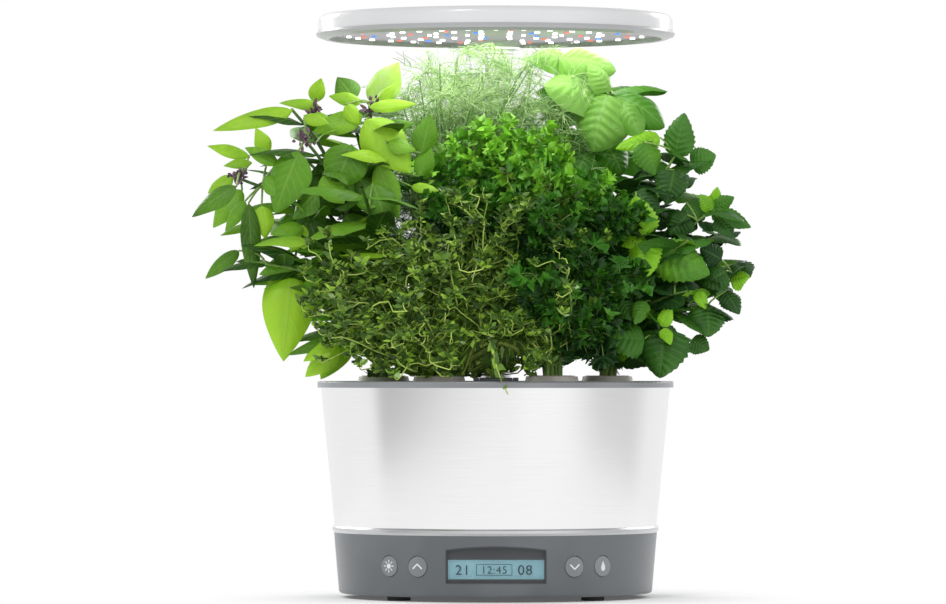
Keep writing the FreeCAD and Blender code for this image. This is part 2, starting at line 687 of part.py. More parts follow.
def float_rod():
    """The rod under the deck that guides the water gauge's float, with a stop at its foot."""
    low = TUB_FLOOR + S.rod_stand_off
    return place(turned("float_rod", [
        (0, low), (S.rod_cap_radius, low), (S.rod_cap_radius, low + S.rod_cap_height),
        (S.rod_radius, low + S.rod_cap_height), (S.rod_radius, DECK_LOW), (0, DECK_LOW)]),
        y=-S.float_offset)


def water_float():
    low = TUB_FLOOR + S.rod_stand_off + S.rod_cap_height
    return pipe("water_float", S.float_radius, S.rod_radius + S.panel_gap, low, low + S.float_height, 0,
                -S.float_offset)


def grow_deck():
    """The lid of the bowl that carries the pods, with the fill port and the column's hole."""
    radius = TUB_TOP_RADIUS - S.tub_wall - S.fit_gap
    plate = cylinder("deck_plate", radius, S.deck_thickness, z=DECK_LOW)
    holes = []
    for angle in POD_ANGLES:
        x, y = around(S.pod_circle, angle)
        holes.append(cylinder(f"deck_hole_{angle}", S.pod_radius + S.panel_gap, S.deck_thickness, x, y,
                              DECK_LOW))
    column = cylinder("deck_column_hole", S.column_radius + S.fit_gap, S.deck_thickness, 0, S.post_offset,
                      DECK_LOW)
    port = block("deck_port", S.port_length, S.port_width, S.deck_thickness,
                 (size(0), -S.port_offset, DECK_LOW))
    holes += [column, port]
    lug_y = -S.port_offset + S.port_width / 2 + S.knuckle_radius + 1
    lugs = [block(f"deck_lug_{side}", S.knuckle_radius * 2, S.knuckle_radius * 2, S.knuckle_radius * 2,
                  (S.port_length / 2 * side + S.knuckle_radius * side, lug_y, DECK_HIGH))
            for side in (-1, 1)]
    pin = cylinder("deck_pin_bore", S.hinge_radius + S.running_gap, S.port_length * 3,
                   -S.port_length * 1.5, lug_y, DECK_HIGH + S.knuckle_radius, 90, 90)
    return cut("grow_deck", fuse("deck_form", cut("deck_pierced", plate, *holes), *lugs), pin)


def flap_axis():
    return -S.port_offset + S.port_width / 2 + S.knuckle_radius + 1, DECK_HIGH + S.knuckle_radius


def fill_flap():
    """The lid over the fill port, hinged at its inner edge."""
    axis_y, axis_z = flap_axis()
    front = -S.port_offset - S.port_width / 2 - S.flap_margin
    lid = block("flap_lid", S.port_length, axis_y - front, S.flap_thickness,
                (size(0), (axis_y + front) / 2, DECK_HIGH + S.panel_gap))
    knuckle = cylinder("flap_knuckle", S.knuckle_radius - S.fit_gap, S.port_length - S.panel_gap * 2,
                       -S.port_length / 2 + S.panel_gap, axis_y, axis_z, 90, 90)
    bore = cylinder("flap_bore", S.hinge_radius + S.running_gap, S.port_length * 2, -S.port_length,
                    axis_y, axis_z, 90, 90)
    return cut("fill_flap", fuse("flap_form", lid, knuckle), bore)


def flap_pin():
    axis_y, axis_z = flap_axis()
    length = S.port_length + S.knuckle_radius * 4
    return cylinder("flap_pin", S.hinge_radius, length, -length / 2, axis_y, axis_z, 90, 90)


def pod_place(angle):
    return around(S.pod_circle, angle)


def grow_baskets():
    """Six slotted baskets, each hanging from a collar on the deck."""
    baskets = []
    low = POD_HIGH - S.pod_depth
    rim = S.pod_radius
    for angle in POD_ANGLES:
        shell = turned(f"basket_shell_{angle}", [
            (0, low), (S.pod_foot_radius, low), (rim, DECK_HIGH), (S.pod_collar_radius, DECK_HIGH),
            (S.pod_collar_radius - S.pod_wall, POD_HIGH), (rim - S.pod_wall, POD_HIGH),
            (rim - S.pod_wall, DECK_HIGH), (S.pod_foot_radius - S.pod_wall, low + S.pod_wall),
            (0, low + S.pod_wall)])
        slots = [block(f"basket_slot_{angle}_{turn}", S.pod_radius * 3, S.pod_slot_width, S.pod_depth / 2,
                       (size(0), size(0), low + S.pod_depth / 6), turn) for turn in (0, 90)]
        x, y = pod_place(angle)
        baskets.append(place(cut(f"basket_{angle}", shell, *slots), x, y))
    return group("grow_baskets", baskets)


def grow_sponges():
    low = POD_HIGH - S.pod_depth + S.pod_wall + S.panel_gap
    foot = S.pod_foot_radius - S.pod_wall - S.panel_gap * 2
    top = S.pod_radius - S.pod_wall - S.panel_gap * 2
    plugs = []
    for angle in POD_ANGLES:
        x, y = pod_place(angle)
        plugs.append(cone(f"sponge_{angle}", foot, top, DECK_HIGH - low, x, y, low))
    return group("grow_sponges", plugs)


def pod_labels():
    """The pale disc on each pod, open in the middle for the stems."""
    discs = []
    for angle in POD_ANGLES:
        x, y = pod_place(angle)
        discs.append(pipe(f"label_{angle}", S.pod_radius, S.label_hole, POD_HIGH,
                          POD_HIGH + S.label_thickness, x, y))
    return group("pod_labels", discs)


# Lamp

def column():
    return pipe("column", S.column_radius, S.column_radius - S.column_wall, TUB_FLOOR, S.column_top, 0,
                S.post_offset)


def column_cap():
    """The collar on the column that guides the sliding post."""
    bore = S.post_radius + S.running_gap
    inside = S.column_radius - S.column_wall - S.running_gap
    rim = S.column_radius + S.cap_rim
    return place(turned("column_cap", [
        (bore, S.column_top - S.cap_spigot), (inside, S.column_top - S.cap_spigot),
        (inside, S.column_top), (rim, S.column_top), (rim - S.cap_rim / 2, S.column_top + S.cap_height),
        (bore, S.column_top + S.cap_height)]), y=S.post_offset)


def lamp_plug():
    """The plug at the column's foot, which drops into the base's socket."""
    low = BASE_HIGH - S.plug_drop
    stem = cylinder("plug_stem", S.plug_radius, S.plug_height, 0, S.post_offset, low)
    head = cylinder("plug_head", S.column_radius - S.column_wall - S.fit_gap, S.plug_height / 3, 0,
                    S.post_offset, TUB_FLOOR)
    return fuse("lamp_plug", stem, head)


POST_LOW = S.column_top - S.cap_spigot - S.bush_height - S.post_tail
COLLAR_LOW = PANEL - S.collar_plate_height - S.collar_neck_height


def inner_post():
    return pipe("inner_post", S.post_radius, S.post_radius - S.post_wall, POST_LOW, PANEL, 0,
                S.post_offset)


def post_bush():
    """The friction bush on the post's foot, which slides in the column."""
    low = POST_LOW + S.post_tail
    outer = S.column_radius - S.column_wall - S.running_gap
    return pipe("post_bush", outer, S.post_radius, low, low + S.bush_height, 0, S.post_offset)


def hood_collar():
    """The stepped collar that joins the post to the lamp panel."""
    return place(turned("hood_collar", [
        (S.post_radius, COLLAR_LOW), (S.collar_neck_radius, COLLAR_LOW),
        (S.collar_neck_radius, COLLAR_LOW + S.collar_neck_height),
        (S.collar_plate_radius, COLLAR_LOW + S.collar_neck_height),
        (S.collar_plate_radius, PANEL), (S.post_radius, PANEL)]), y=S.post_offset)


def bezel_ring():
    """The bright ring round the lamp's underside."""
    ledge = S.bezel_bore + 3
    rim = S.shell_radius + 0.5
    return turned("bezel_ring", [
        (S.bezel_bore, BEZEL_LOW), (S.bezel_lip_radius, BEZEL_LOW),
        (S.bezel_radius - 1.2, BEZEL_LOW + S.bezel_height * 0.35),
        (S.bezel_radius, BEZEL_LOW + S.bezel_height * 0.65), (rim, SHELL_LOW), (ledge + 1, SHELL_LOW),
        (ledge + 1, PANEL), (S.bezel_bore, PANEL)])


def hood_shell():
    """The lamp's white cover, with bosses for the panel screws."""
    inside = S.shell_radius - S.shell_wall
    ceiling = SHELL_HIGH - S.shell_wall
    cover = turned("shell_cover", [
        (inside, SHELL_LOW), (S.shell_radius, SHELL_LOW), (S.shell_radius, SHELL_HIGH), (0, SHELL_HIGH),
        (0, ceiling), (inside, ceiling)])
    rounded(cover, S.shell_round, SHELL_HIGH)
    bosses = []
    holes = []
    for number, (x, y) in enumerate(screw_places()):
        bosses.append(cylinder(f"shell_boss_{number}", S.boss_radius, ceiling + S.shell_wall / 2
                               - BOARD_HIGH, x, y, BOARD_HIGH))
        holes.append(cylinder(f"shell_hole_{number}", S.screw_radius + S.fit_gap, S.shell_height / 2,
                              x, y, BOARD_HIGH))
    return cut("hood_shell", fuse("shell_form", cover, *bosses), *holes)


def screw_places():
    return [around(S.boss_circle, 60 * number) for number in range(6)]


def led_board():
    radius = S.bezel_bore + 3.7
    plate = cylinder("board_plate", radius, S.led_board_thickness, z=PANEL)
    holes = [cylinder(f"board_hole_{number}", S.screw_radius + S.fit_gap, S.led_board_thickness, x, y,
                      PANEL) for number, (x, y) in enumerate(screw_places())]
    return cut("led_board", plate, *holes)


def hood_screws():
    screws = []
    for number, (x, y) in enumerate(screw_places()):
        head = cylinder(f"hood_head_{number}", S.screw_head_radius, S.screw_head_height, x, y,
                        PANEL - S.screw_head_height)
        shank = cylinder(f"hood_shank_{number}", S.screw_radius, S.shell_height / 2, x, y, PANEL)
        screws.append(fuse(f"hood_screw_{number}", head, shank))
    return group("hood_screws", screws)


def heat_sink():
    """The finned plate on the back of the LED board."""
    plate = cylinder("sink_plate", S.sink_radius, S.sink_plate, z=BOARD_HIGH)
    fins = [block(f"sink_fin_{number}", S.sink_radius * 1.2, S.fin_thickness, S.fin_height,
                  (size(0), S.sink_radius * number / 8, BOARD_HIGH + S.sink_plate))
            for number in range(-5, 6)]
    return fuse("heat_sink", plate, *fins)


LED_RINGS = {
    "white_leds": [(118, 32, 0), (84, 24, 0), (52, 14, 0), (22, 6, 0)],
    "red_leds": [(108, 12, 15), (68, 8, 10)],
    "blue_leds": [(98, 8, 33), (38, 5, 30)],
}


def leds(name):
    """One colour of diodes, set out in rings on the panel's underside."""
    chips = []
    for radius, count, start in LED_RINGS[name]:
        for number in range(count):
            angle = start + 360.0 / count * number
            x, y = around(size(radius), angle)
            if math.hypot(x.number, y.number - S.post_offset.number) < S.collar_plate_radius.number + 4:
                continue
            if any(math.hypot(x.number - a.number, y.number - b.number) < 6
                   for a, b in screw_places()):
                continue
            chips.append(block(f"{name}_{radius}_{number}", S.led_size, S.led_size, S.led_height,
                               (x, y, PANEL - S.led_height), angle))
    return group(name, chips)


# Herbs

def lean_point(start, turn, tilt, length):
    """The far end of a run that leans out from upright by tilt, towards the angle turn."""
    flat = length * math.sin(math.radians(tilt))
    return start + Vector(flat * math.cos(math.radians(turn)), flat * math.sin(math.radians(turn)),
                          length * math.cos(math.radians(tilt)))


def stalk(start, end, low_radius, high_radius):
    """A tapering stem between two points."""
    run = end - start
    return Part.makeCone(low_radius, high_radius, run.Length, start, run)


def leaf(start, turn, tilt, length, width):
    """A pointed blade of even thickness that leaves a stem at start."""
    thick = S.leaf_thickness.number
    tip = Vector(length, 0, 0)
    middle = length * 0.42
    near = Part.Arc(Vector(0, 0, 0), Vector(middle, width / 2, 0), tip)
    far = Part.Arc(tip, Vector(middle, -width / 2, 0), Vector(0, 0, 0))
    blade = Part.Face(Part.Wire([near.toShape(), far.toShape()])).extrude(Vector(0, 0, thick))
    blade.translate(Vector(-1.5, 0, -thick / 2))
    blade.Placement = FreeCAD.Placement(start, FreeCAD.Rotation(turn, tilt - 90, 0)) * blade.Placement
    return blade


def sector(low_turn, high_turn):
    """The wedge that one herb keeps to, between two angles and clear of the column."""
    reach = 260.0
    gap = S.sector_gap.number
    low = POD_HIGH.number + S.label_thickness.number + 1
    height = S.herb_top.number - low
    middle = math.radians((low_turn + high_turn) / 2)
    corner = Vector(math.cos(middle), math.sin(middle), 0) * (gap * 2)
    sides = [corner]
    for turn in (low_turn, high_turn):
        sides.append(corner + Vector(math.cos(math.radians(turn)), math.sin(math.radians(turn)), 0) * reach)
    wire = Part.makePolygon([Vector(p.x, p.y, low) for p in sides + sides[:1]])
    wedge = Part.Face(wire).extrude(Vector(0, 0, height))
    keep_out = Part.makeCylinder(S.post_keep_out.number, height, Vector(0, S.post_offset.number, low))
    return wedge.cut(keep_out)


def herb(name, angle, low_turn, high_turn, build):
    """One potted herb: its stems and leaves or tufts, as one closed solid in its sector."""
    x, y = pod_place(angle)
    foot = Vector(x.number, y.number, DECK_HIGH.number)
    root = Part.makeCylinder(S.stem_radius.number, POD_HIGH.number - DECK_HIGH.number + 14, foot)
    grown = root
    for piece in build(foot, angle):
        grown = grown.fuse(piece)
    room = sector(low_turn, high_turn).fuse(root)
    solid = max(grown.common(room).Solids, key=lambda part: part.Volume)
    plant = add("Part::Feature", name)
    plant.Shape = solid
    return plant


def knee(start, top):
    """The bend of a stem that leaves its pod upright before it leans to its top."""
    run = top - start
    return start + run * 0.31 + Vector(0, 0, run.Length * 0.26)


def leafy(foot, angle, stems, leaf_length, leaf_width, tiers, droop):
    """Stems with pairs of leaves, each pair turned about a quarter from the last."""
    pieces = []
    for turn, tilt, height in stems:
        start = lean_point(foot, angle + turn, 27, 4.4)
        top = lean_point(start, angle + turn, tilt, height)
        bend = knee(start, top)
        pieces.append(stalk(start, bend, 3.2, 2.9))
        pieces.append(stalk(bend - (top - bend).normalize(), top, 2.0, 1.4))
        for tier in range(tiers):
            for side in (0, 1):
                share = 0.42 + 0.55 * (tier + 0.12 * side) / (tiers - 1 + 0.12)
                node = bend + (top - bend) * ((share - 0.40) / 0.60)
                blade_turn = angle + turn + 83 * tier + 171 * side
                scale = 1.0 - 0.04 * tier
                pieces.append(leaf(node, blade_turn, droop - 26 * share - 3 * side,
                                   leaf_length * scale, leaf_width * scale))
    return pieces


def tuft(middle, radius, turn):
    """A rounded, faceted clump of fine leaf about a point."""
    rings = []
    for share, level in ((0.5, -0.85), (0.95, -0.35), (0.95, 0.3), (0.5, 0.85)):
        corners = [middle + Vector(radius * share * math.cos(math.radians(turn + 40 * number)),
                                   radius * share * math.sin(math.radians(turn + 40 * number)),
                                   radius * level) for number in range(9)]
        rings.append(Part.makePolygon(corners + corners[:1]))
    return Part.makeLoft(rings, True, True)


def tufted(foot, angle, stems, radius, tiers):
    """Stems with rounded tufts of fine leaf."""
    pieces = []
    for turn, tilt, height in stems:
        start = foot + Vector(0, 0, 4)
        top = lean_point(start, angle + turn, tilt, height)
        pieces.append(stalk(start, top, 2.4, 1.6))
        for tier in range(tiers):
            share = 1.0 - 0.3 * tier
            pieces.append(tuft(start + (top - start) * share, radius * (1.0 - 0.1 * tier),
                               turn + 17 * tier))
    return pieces


def thai_basil(foot, angle):
    stems = [(9, 19, 223), (61, 6, 219), (30, 20, 197), (11, 36, 193), (22, 39, 118), (-43, 11, 227),
             (-18, 40, 167), (-44, 27, 193), (48, 40, 144)]
    return leafy(foot, angle, stems, 56, 25, 4, 86)


def mint(foot, angle):
    stems = [(10, 30, 140), (-20, 24, 165), (30, 16, 190), (0, 50, 118), (-38, 34, 130)]
    return leafy(foot, angle, stems, 42, 27, 5, 92)


def sweet_basil(foot, angle):
    stems = [(-104, 15, 232), (-120, 8, 254), (-83, 22, 216), (-32, 23, 196), (5, 21, 197),
             (38, 15, 213), (-7, 33, 160)]
    return leafy(foot, angle, stems, 56, 38, 4, 86)


def dill(foot, angle):
    stems = [(0, 6, 232), (60, 14, 222), (-60, 14, 225), (120, 16, 205), (-120, 14, 200), (0, 26, 190)]
    return tufted(foot, angle, stems, 24, 3)


def parsley(foot, angle):
    stems = [(0, 6, 165), (60, 18, 150), (-60, 18, 150), (130, 18, 160), (-130, 20, 158), (0, 38, 110),
             (24, 34, 80)]
    return tufted(foot, angle, stems, 23, 2)


def thyme(foot, angle):
    stems = [(0, 6, 140), (60, 22, 125), (-60, 22, 120), (140, 22, 130), (-140, 20, 130), (0, 42, 95),
             (-26, 46, 70)]
    return tufted(foot, angle, stems, 21, 2)


HERBS = {
    "herb_mint": (0, -28, 14, mint), "herb_sweet_basil": (60, 14, 84, sweet_basil),
    "herb_dill": (120, 84, 144, dill), "herb_thai_basil": (180, 144, 212, thai_basil),
    "herb_thyme": (240, 212, 272, thyme), "herb_parsley": (300, 272, 332, parsley),
}


def build_all():
    pieces = [
        base_housing(), base_floor(), feet(), foot_screws(), trim_ring(), bowl_seat(), display_bezel(),
        display_lens(), lcd_panel(), control_board(), button_brackets(), button_switches(), power_jack(),
        jack_cradle(), power_lead(), pump_stator(), lamp_socket(), reservoir(), steel_sleeve(),
        pump_body(), impeller(), pump_shaft(), intake_filter(), riser_tube(), deck_manifold(),
        float_rod(), water_float(), grow_deck(), fill_flap(), flap_pin(), grow_baskets(), grow_sponges(),
        pod_labels(), column(), column_cap(), lamp_plug(), inner_post(), post_bush(), hood_collar(),
        bezel_ring(), hood_shell(), led_board(), hood_screws(), heat_sink()]
    pieces += [button(name, angle) for name, angle in BUTTONS.items()]
    pieces += [leds(name) for name in LED_RINGS]
    pieces += [herb(name, *where) for name, where in HERBS.items()]
    return pieces


def check(pieces):
    """Stop before anything is written if an object failed or a shape isn't sound."""
    doc.recompute()
    failed = [thing.Name for thing in doc.Objects if {"Invalid", "Error"} & set(thing.State)]
    unsound = [piece.Label for piece in pieces if piece.Shape.isNull() or not piece.Shape.isValid()
               or not piece.Shape.Solids]
    if failed or unsound:
        raise RuntimeError(f"failed: {failed}, unsound: {unsound}")


def write(pieces):
    for piece in pieces:
        piece.Shape.exportStep(f"parts/{piece.Label}.step")
        print(f"{piece.Label}: {len(piece.Shape.Solids)} solids, {piece.Shape.Volume / 1000:.2f} cm3")


PIECES = build_all()
check(PIECES)
write(PIECES)
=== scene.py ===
# %% [markdown]
# # A countertop hydroponic garden, dressed for its portrait
# The garden's housing, bowl, pump and lamp come ready-made as a fixed frame of parts.
# Here they get their finishes, and the six herbs grow in their pods. First the frame is loaded.

# %% Load the frame
import math
import bpy
import numpy as np
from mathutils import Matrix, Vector


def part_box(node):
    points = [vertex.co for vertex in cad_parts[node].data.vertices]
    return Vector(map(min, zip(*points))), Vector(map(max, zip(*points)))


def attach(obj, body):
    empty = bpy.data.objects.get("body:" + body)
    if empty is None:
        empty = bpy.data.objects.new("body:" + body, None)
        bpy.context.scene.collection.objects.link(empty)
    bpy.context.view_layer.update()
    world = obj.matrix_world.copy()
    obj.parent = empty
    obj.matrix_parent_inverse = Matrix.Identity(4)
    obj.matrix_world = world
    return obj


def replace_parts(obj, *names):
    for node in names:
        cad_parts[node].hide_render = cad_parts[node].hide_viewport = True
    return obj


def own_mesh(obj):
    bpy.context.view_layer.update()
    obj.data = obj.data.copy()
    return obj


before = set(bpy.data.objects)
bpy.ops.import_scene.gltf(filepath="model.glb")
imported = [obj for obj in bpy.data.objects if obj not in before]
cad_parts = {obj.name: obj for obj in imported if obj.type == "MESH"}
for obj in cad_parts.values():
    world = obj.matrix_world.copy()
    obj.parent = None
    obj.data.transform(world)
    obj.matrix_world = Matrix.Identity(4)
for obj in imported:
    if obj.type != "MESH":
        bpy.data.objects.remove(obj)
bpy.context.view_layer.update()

MM = 0.001

# %% [markdown]
# The camera stands far off with a long lens, level with a point a little above the bowl's
# rim. That is why the rim looks like a straight line and the lamp's underside just shows.
# A long lens keeps the herbs in front from looking larger than those at the back.

# %% Camera
IMAGE_WIDTH = 946
LENS_PIXELS = 6100.0
SENSOR = 36.0
CAMERA_DISTANCE = 4.8
CAMERA_HEIGHT = 0.180
CAMERA_SIDE = -0.0177
HORIZON_BELOW_MIDDLE = 66.0

camera_data = bpy.data.cameras.new("camera")
camera_data.sensor_width = SENSOR
camera_data.lens = SENSOR * LENS_PIXELS / IMAGE_WIDTH
camera = bpy.data.objects.new("camera", camera_data)
bpy.context.scene.collection.objects.link(camera)
camera.location = (CAMERA_SIDE, -CAMERA_DISTANCE, CAMERA_HEIGHT)
camera.rotation_euler = (math.pi / 2 + math.atan(HORIZON_BELOW_MIDDLE / LENS_PIXELS), 0, 0)
bpy.context.scene.camera = camera
print("lens in mm:", round(camera_data.lens, 1))

# %% [markdown]
# Shader maths reads best as ordinary sums. This small class wraps a node's socket, so that
# `1 - mask * 0.5` adds the Math nodes by itself. Any other node comes from `Nodes.node`,
# which takes the node's type, its settings, and the values or links of its sockets.

# %% A socket that can be added and multiplied
class Wire:
    def __init__(self, nodes, socket):
        self.nodes = nodes
        self.socket = socket

    def maths(self, operation, *values):
        return self.nodes.node("ShaderNodeMath", {"operation": operation}, dict(enumerate(values)))

    def __add__(self, other):
        return self.maths("ADD", self, other)

    def __sub__(self, other):
        return self.maths("SUBTRACT", self, other)

    def __rsub__(self, other):
        return self.maths("SUBTRACT", other, self)

    def __mul__(self, other):
        return self.maths("MULTIPLY", self, other)

    def __abs__(self):
        return self.maths("ABSOLUTE", self)

    __radd__ = __add__
    __rmul__ = __mul__

    def ramp(self, low, high):
        """0 below low, 1 above high, and smooth between."""
        return self.nodes.node("ShaderNodeMapRange", {"interpolation_type": "SMOOTHSTEP"},
                               {"Value": self, "From Min": low, "From Max": high})


# %% [markdown]
# A finish and the studio's walls are both trees of nodes, so one class hands out nodes for
# either. `Shader` adds what only a finish has: a new material and its surface, whose sockets
# are set by name all at once.

# %% A tree that hands out nodes, and a material built on it
class Nodes:
    def __init__(self, tree):
        self.tree = tree

    def node(self, kind, settings=None, values=None, output=0):
        made = self.tree.nodes.new(kind)
        for key, value in (settings or {}).items():
            setattr(made, key, value)
        for key, value in (values or {}).items():
            self.feed(made.inputs[key], value)
        return Wire(self, made.outputs[output])

    def feed(self, socket, value):
        if isinstance(value, Wire):
            self.tree.links.new(value.socket, socket)
        else:
            socket.default_value = value

    def place(self):
        return self.node("ShaderNodeTexCoord", output=3)

    def stretched(self, x, y, z):
        """The object's own coordinates, stretched by a factor along each axis."""
        return self.node("ShaderNodeVectorMath", {"operation": "MULTIPLY"}, {0: self.place(), 1: (x, y, z)})

    def noise(self, scale, detail=3.0, where=None, roughness=0.55):
        values = {"Vector": where or self.place(), "Scale": scale, "Detail": detail,
                  "Roughness": roughness}
        return self.node("ShaderNodeTexNoise", None, values)

    def mix(self, share, low, high):
        """A colour between two, where share is a number, a Wire or a mask."""
        values = {"Factor": share, 6: opaque(low), 7: opaque(high)}
        return self.node("ShaderNodeMix", {"data_type": "RGBA"}, values, output=2)

    def bump(self, height, strength, distance):
        values = {"Height": height, "Strength": strength, "Distance": distance}
        return self.node("ShaderNodeBump", None, values)

    def attribute(self, name):
        return self.node("ShaderNodeAttribute", {"attribute_name": name}, output=2)


class Shader(Nodes):
    def __init__(self, name):
        self.material = bpy.data.materials.new(name)
        self.material.use_nodes = True
        super().__init__(self.material.node_tree)
        self.surface = self.tree.nodes["Principled BSDF"]

    def finish(self, **values):
        """Set the surface's sockets, base_color for Base Color and so on, and hand over the material."""
        for key, value in values.items():
            self.feed(self.surface.inputs[key.replace("_", " ").title().replace("Ior", "IOR")], value)
        print("finish", self.material.name, "has", len(self.tree.nodes), "nodes")
        return self.material


def opaque(colour):
    return colour if isinstance(colour, Wire) else (*colour[:3], 1.0)


# %% [markdown]
# Moulded plastic isn't one flat colour: a fine grain from the mould breaks up its gloss,
# and its tone drifts a little from place to place. One recipe serves every plastic piece,
# with the colour, gloss and size of grain as its words.

# %% Plastics
def tinted(colour, factor):
    return tuple(min(1.0, channel * factor) for channel in colour)


def moulded(name, colour, roughness=0.45, grain=0.12, grain_size=1800.0, drift=0.10, **extra):
    shader = Shader(name)
    cloud = shader.noise(14.0, 2.0)
    grit = shader.noise(grain_size, 2.0)
    tone = shader.mix(cloud.ramp(0.35, 0.65), tinted(colour, 1 - drift), tinted(colour, 1 + drift))
    return shader.finish(base_color=tone, normal=shader.bump(grit, grain, 0.0002),
                         roughness=roughness + (grit - 0.5) * 0.12 + (cloud - 0.5) * 0.06, **extra)


base_plastic = moulded("base_plastic", (0.128, 0.140, 0.150), 0.34, 0.18, coat_weight=0.15)
rim_plastic = moulded("rim_plastic", (0.270, 0.280, 0.295), 0.30, 0.10)
black_plastic = moulded("black_plastic", (0.022, 0.023, 0.025), 0.5)
bezel_plastic = moulded("bezel_plastic", (0.075, 0.080, 0.086), 0.42, 0.10)
deck_plastic = moulded("deck_plastic", (0.070, 0.072, 0.075), 0.45)
pod_plastic = moulded("pod_plastic", (0.70, 0.66, 0.60), 0.42)
pump_plastic = moulded("pump_plastic", (0.55, 0.56, 0.57), 0.40)
hood_plastic = moulded("hood_plastic", (0.78, 0.785, 0.79), 0.22, 0.03, drift=0.015, coat_weight=0.3)
ring_plastic = moulded("ring_plastic", (0.47, 0.475, 0.48), 0.28, 0.03, drift=0.02, coat_weight=0.2)
button_plastic = moulded("button_plastic", (0.235, 0.245, 0.255), 0.34, 0.12)
rotor_plastic = moulded("rotor_plastic", (0.03, 0.03, 0.035), 0.4)
foot_rubber = moulded("foot_rubber", (0.035, 0.035, 0.037), 0.75, 0.3, 900.0)
lead_rubber = moulded("lead_rubber", (0.02, 0.02, 0.02), 0.6)
float_foam = moulded("float_foam", (0.72, 0.22, 0.07), 0.8, 0.5, 500.0)
filter_foam = moulded("filter_foam", (0.03, 0.03, 0.03), 0.9, 0.8, 350.0)
circuit_green = moulded("circuit_green", (0.02, 0.16, 0.07), 0.35)

# %% [markdown]
# The steel band is brushed round the bowl, so its scratches run level and its highlights
# stretch upright. Noise squeezed flat along the height makes the scratches, and feeds both
# the roughness and a faint bump. The same recipe with coarser strokes does the other metals.

# %% Metals
def brushed(name, colour, roughness, strokes, depth, spread=0.14):
    shader = Shader(name)
    scratch = shader.noise(1.0, 4.0, shader.stretched(18.0, 18.0, strokes), 0.65)
    fine = shader.noise(1.0, 2.0, shader.stretched(60.0, 60.0, strokes * 2.7), 0.5)
    marks = scratch * 0.6 + fine * 0.4
    tone = shader.mix(marks.ramp(0.35, 0.65), tinted(colour, 0.93), colour)
    return shader.finish(base_color=tone, metallic=1.0, roughness=roughness + (marks - 0.5) * spread,
                         normal=shader.bump(marks, depth, 0.00008))


band_steel = brushed("band_steel", (0.93, 0.93, 0.935), 0.20, strokes=9000.0, depth=0.05, spread=0.05)
trim_silver = brushed("trim_silver", (0.66, 0.66, 0.67), 0.24, strokes=2600.0, depth=0.06, spread=0.06)
post_silver = brushed("post_silver", (0.78, 0.78, 0.79), 0.26, strokes=3000.0, depth=0.08, spread=0.08)
screw_steel = brushed("screw_steel", (0.60, 0.60, 0.61), 0.35, strokes=2400.0, depth=0.10)
sink_alloy = brushed("sink_alloy", (0.70, 0.70, 0.71), 0.45, strokes=2200.0, depth=0.15)
coil_copper = brushed("coil_copper", (0.72, 0.38, 0.18), 0.35, strokes=1600.0, depth=0.50)

# %% [markdown]
# The LED panel is a satin grey sheet with a faint glow of its own, which is painted light: it
# stands for the diodes' light falling on it. Its diodes are lit, so each has a glow of its own,
# and the white ones glow most. The display is a plain liquid-crystal panel, blue-green glass
# with a soft light behind it.

# %% Lit things
def panel_finish():
    shader = Shader("panel_finish")
    cloud = shader.noise(25.0, 2.0)
    grey = shader.mix(cloud.ramp(0.3, 0.7), (0.040, 0.038, 0.042), (0.060, 0.056, 0.062))
    # Painted light: the board's own faint glow stands for the diodes' light falling on it.
    painted_diode_light = shader.mix(cloud, (0.9, 0.9, 1.0), (1.0, 0.95, 1.0))
    return shader.finish(base_color=grey, roughness=0.34 + cloud * 0.06, emission_color=painted_diode_light,
                         emission_strength=0.21)


def diode(name, colour, strength):
    shader = Shader(name)
    glow = shader.noise(300.0, 1.0).ramp(0.13, 0.26)
    return shader.finish(base_color=opaque(colour), roughness=0.3, emission_strength=strength,
                         emission_color=shader.mix(glow, tinted(colour, 0.8), colour))


def lcd_finish():
    shader = Shader("lcd_finish")
    cloud = shader.noise(40.0, 2.0)
    colour = shader.mix(cloud.ramp(0.3, 0.7), (0.150, 0.345, 0.400), (0.175, 0.390, 0.445))
    return shader.finish(base_color=colour, roughness=0.25, emission_color=colour, emission_strength=0.30)


def lens_finish():
    shader = Shader("lens_finish")
    haze = shader.noise(200.0, 1.0)
    return shader.finish(base_color=(0.95, 0.97, 0.98, 1.0), roughness=0.04 + haze * 0.03, ior=1.46,
                         alpha=0.10)


panel_grey = panel_finish()
white_light = diode("white_light", (1.0, 0.99, 0.97), 3.2)
red_light = diode("red_light", (0.80, 0.20, 0.14), 0.9)
blue_light = diode("blue_light", (0.08, 0.26, 0.80), 1.0)
lcd_glass = lcd_finish()
lens_clear = lens_finish()

# %% [markdown]
# Now the ready-made parts take their finishes, all but the eight that growth, foam and card
# replace further down. Parts of one stuff are listed together, so that a finish is written
# once for all of them. A part has one slot for its material, and the finish goes into it.

